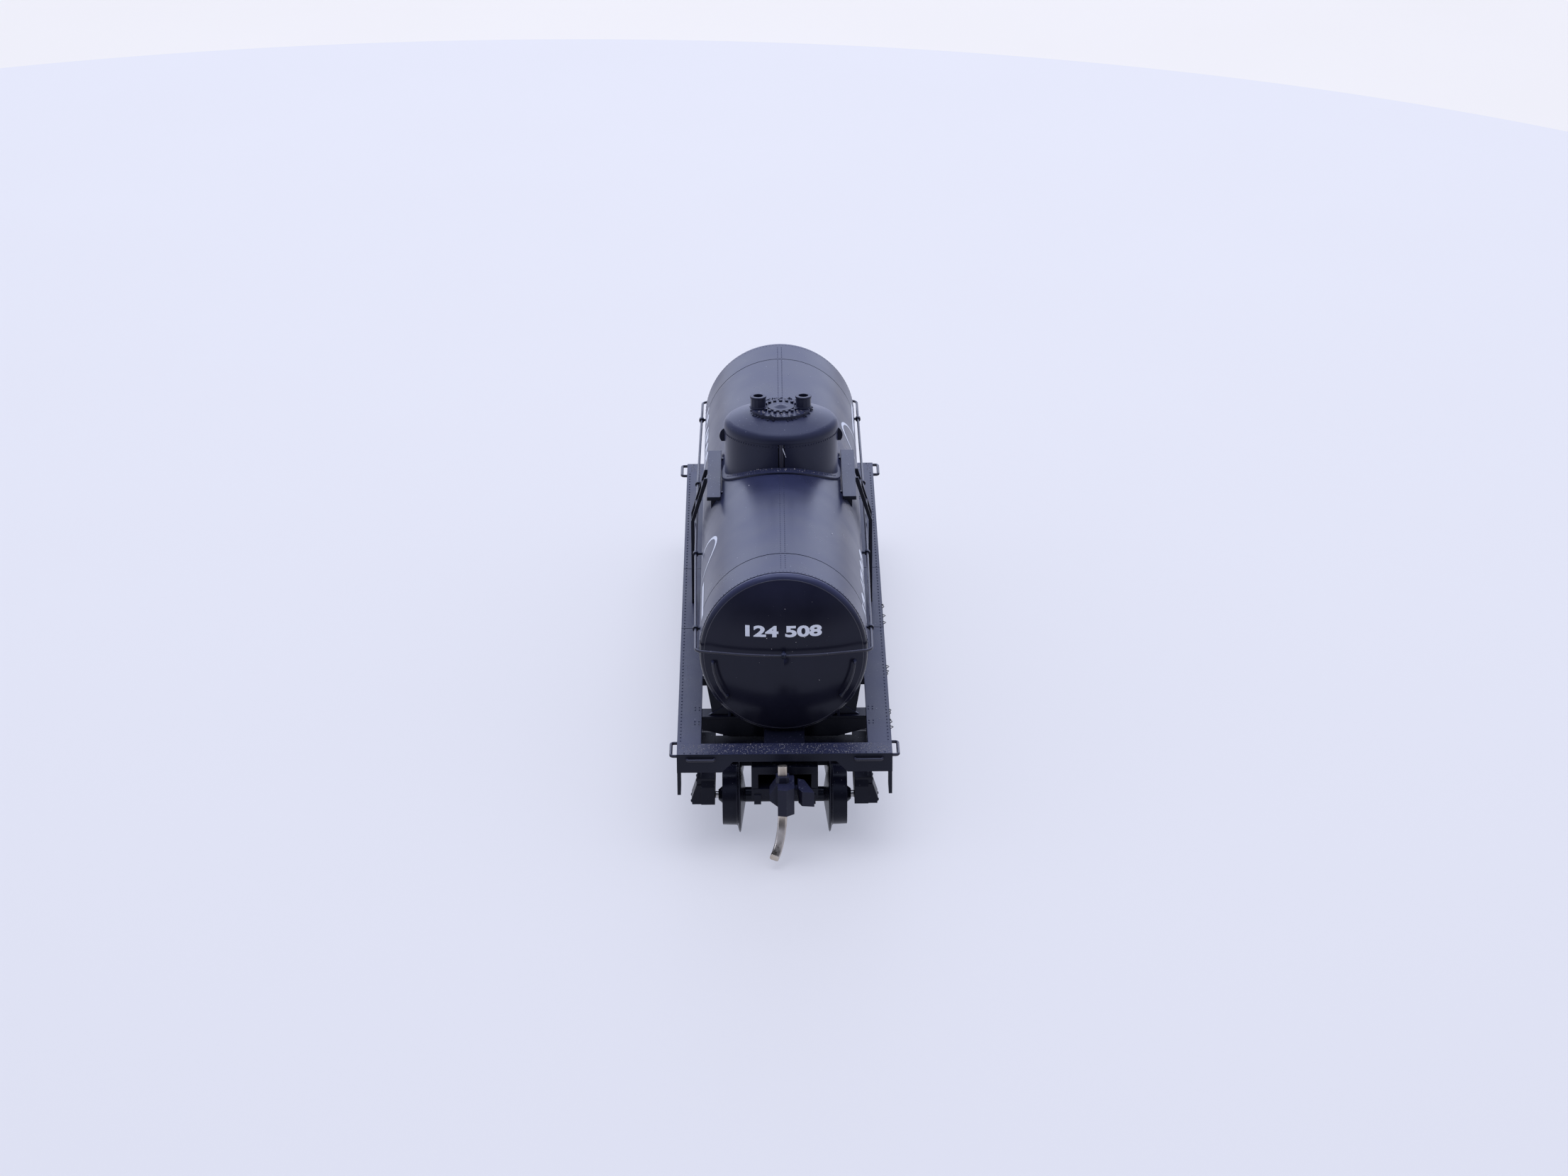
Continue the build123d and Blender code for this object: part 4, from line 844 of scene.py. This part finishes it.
places = []
for _ in range(140):
    x = chance.uniform(-34.5, 34.5) * MM
    side = chance.choice((-1, 1))
    y = side * chance.uniform(7.3, 9.2) * MM
    places.append((Vector((x, y, DECK_Z)), UP))
grains("dust_on_boards", places, 0.01 * MM, 0.05 * MM)

# Dust on the dome's base plate.
places = []
for _ in range(260):
    angle = chance.uniform(0, 2 * math.pi)
    reach = chance.uniform(5.25, 6.0) * MM
    x = reach * math.cos(angle)
    y = reach * math.sin(angle) * 0.9
    if abs(y) < 4.9 * MM:
        places.append(tank_point(x, math.acos(y / TANK_R), BASE_PLATE_LIFT))
grains("dust_round_dome", places, 0.02 * MM, 0.08 * MM)

# Dust on the manhole's pad.
places = []
for _ in range(240):
    angle = chance.uniform(0, 2 * math.pi)
    reach = math.sqrt(chance.uniform(1.5, 2.66**2)) * MM
    places.append(round_place(reach, angle, PAD_TOP_Z))
grains("dust_on_lid", places, 0.02 * MM, 0.085 * MM)

# Dust on the tank, clear of the dome's base plate. Angles in degrees, 90 at the top.
places = []
for _ in range(45):
    x = chance.uniform(-31, 31) * MM
    if abs(x) > BASE_PLATE_X:
        places.append(tank_point(x, math.radians(chance.gauss(90, 32))))
grains("dust_on_tank", places, 0.01 * MM, 0.045 * MM)

# White specks on the tank and on both platforms. Those that fall under the dome are left out.
places = []
for _ in range(26):
    places.append(tank_point(chance.uniform(-31, 31) * MM, math.radians(chance.gauss(90, 40))))
for side in (-1, 1):
    for _ in range(6):
        x = chance.uniform(platform_low.x, platform_high.x)
        y = side * chance.uniform(5.9 * MM, 6.7 * MM)
        places.append((Vector((x, y, platform_high.z)), UP))


def clear_of_dome(point):
    """True for a point past the dome's base plate, or out on a platform."""
    on_platform = point.z > 20.7 * MM and abs(point.y) > 5.8 * MM
    return abs(point.x) > BASE_PLATE_X or on_platform


places = [place for place in places if clear_of_dome(place[0])]
grains("white_specks", places, 0.03 * MM, 0.075 * MM, LINT)

# Dark crumbs round the edge of the manhole's pad: some on its rim, the others beside it.
places = []
for _ in range(230):
    angle = chance.uniform(0, 2 * math.pi)
    reach = chance.gauss(2.62, 0.18) * MM
    height = 27.17 * MM if reach < PAD_R else 26.9 * MM
    places.append(round_place(reach, angle, height))
grains("crumbs_round_pad", places, 0.07 * MM, 0.21 * MM, DETAIL)

# Fine specks on both heads.
places = []
for end in (-1, 1):
    for _ in range(22):
        y = chance.gauss(0, 3.0) * MM
        z = TANK_Z + chance.uniform(-4.5, 5.5) * MM
        start = Vector((end * RAY_START_X, y, z))
        hit, normal = head_faces[end].ray_cast(start, Vector((-end, 0, 0)))[:2]
        if hit:
            places.append((hit, normal))
grains("specks_on_heads", places, 0.012 * MM, 0.055 * MM)


def fibre(name, points, radius, material=LINT):
    """A thin fibre of lint along a few points."""
    vertices = []
    for index, point in enumerate(points):
        before = points[max(0, index - 1)]
        after = points[min(len(points) - 1, index + 1)]
        first, second = across((after - before).normalized())
        for step in range(4):
            angle = step * math.pi / 2
            vertices.append(point + (first * math.cos(angle) + second * math.sin(angle)) * radius)
    add_piece(name, vertices, ring_faces(len(points), 4), material, "wagon")


# A short hair on the dome's front, beside the lap joint.
hair = []
for step in range(8):
    part = step / 7
    y = (0.1 + 0.32 * part) * MM
    z = DOME_RIM_Z - (0.25 + 0.95 * part) * MM
    x = math.sqrt(DOME_R**2 - y**2) + 0.04 * MM + 0.12 * MM * math.sin(part * math.pi)
    hair.append(Vector((x, y, z)))
fibre("lint_on_dome", hair, 0.035 * MM)

# Dark wisps caught along the outer edge of the left running board. Where each one starts is
# in millimetres from the middle.
WISP_STARTS = (2.0, 4.5, 6.2, 17.0, 18.4, 27.5, 29.6, 31.0)
for number, start_x in enumerate(WISP_STARTS):
    wisp = []
    bend = chance.uniform(-1.2, 1.2)
    for step in range(7):
        part = step / 6
        curl = 0.6 + 0.4 * math.cos(7 * part + bend)
        x = (start_x + 0.9 * part + 0.25 * math.sin(3 * part + bend)) * MM
        y = (9.22 + 0.34 * math.sin(math.pi * part) * curl) * MM
        z = DECK_Z + (0.02 + 0.14 * math.sin(math.pi * part + 0.3 * bend)) * MM
        wisp.append(Vector((x, y, z)))
    fibre(f"wisp_{number}", wisp, 0.04 * MM, TRUCK)


# --- table --------------------------------------------------------------------------------

# The wagon stands on a round white table, with a white backdrop below it.
TABLE_R = 207.6 * MM
TABLE_CENTRE = (-31.9 * MM, -33.0 * MM)
TABLE_EDGE = 1.2 * MM
BACKDROP_Z = -14 * MM
BACKDROP_HALF = 3.0


def stage_white(name, base, glow, strength):
    """A plain pale surface with a faint mottle and a little light of its own."""
    material, tree, shader = new_material(name)
    mottle = noise_node(tree, 30, 4)
    grain = noise_node(tree, 1500, 3)
    lighter = tuple(c + 0.01 for c in base)
    tone = blended(tree, mapped(tree, mottle, 0.3, 0.7, 0, 1), base, lighter)
    tree.links.new(tone, shader.inputs["Base Color"])
    shader.inputs["Emission Color"].default_value = (*glow, 1)
    shader.inputs["Emission Strength"].default_value = strength
    tree.links.new(mapped(tree, mottle, 0.2, 0.8, 0.5, 0.6), shader.inputs["Roughness"])
    shader.inputs["Specular IOR Level"].default_value = 0.2
    bump(tree, shader, grain, 0.03, 0.02 * MM)
    return material


TABLE = stage_white("table_white", (0.43, 0.40, 0.355), (0.785, 0.82, 1.0), 0.475)
BACKDROP = stage_white("backdrop_white", (0.43, 0.40, 0.35), (0.90, 0.89, 0.94), 0.50)

# Rings of the table's rounded edge and of its side, from its top down to the backdrop.
TABLE_STEPS = 256
table_rings = (
    (TABLE_R - TABLE_EDGE, 0.0),
    (TABLE_R - 0.3 * TABLE_EDGE, -0.25 * TABLE_EDGE),
    (TABLE_R, -TABLE_EDGE),
    (TABLE_R, BACKDROP_Z),
)
vertices = []
for ring_r, z in table_rings:
    for step in range(TABLE_STEPS):
        angle = step * 2 * math.pi / TABLE_STEPS
        x = TABLE_CENTRE[0] + ring_r * math.cos(angle)
        y = TABLE_CENTRE[1] + ring_r * math.sin(angle)
        vertices.append((x, y, z))
faces = [tuple(range(TABLE_STEPS))]
faces += [(a, d, c, b) for a, b, c, d in ring_faces(len(table_rings), TABLE_STEPS)]
table = new_object("table", vertices, faces, TABLE)

vertices = []
for across_x, across_y in ((-1, -1), (1, -1), (1, 1), (-1, 1)):
    vertices.append((across_x * BACKDROP_HALF, across_y * BACKDROP_HALF, BACKDROP_Z))
backdrop = new_object("backdrop", vertices, [(0, 1, 2, 3)], BACKDROP)
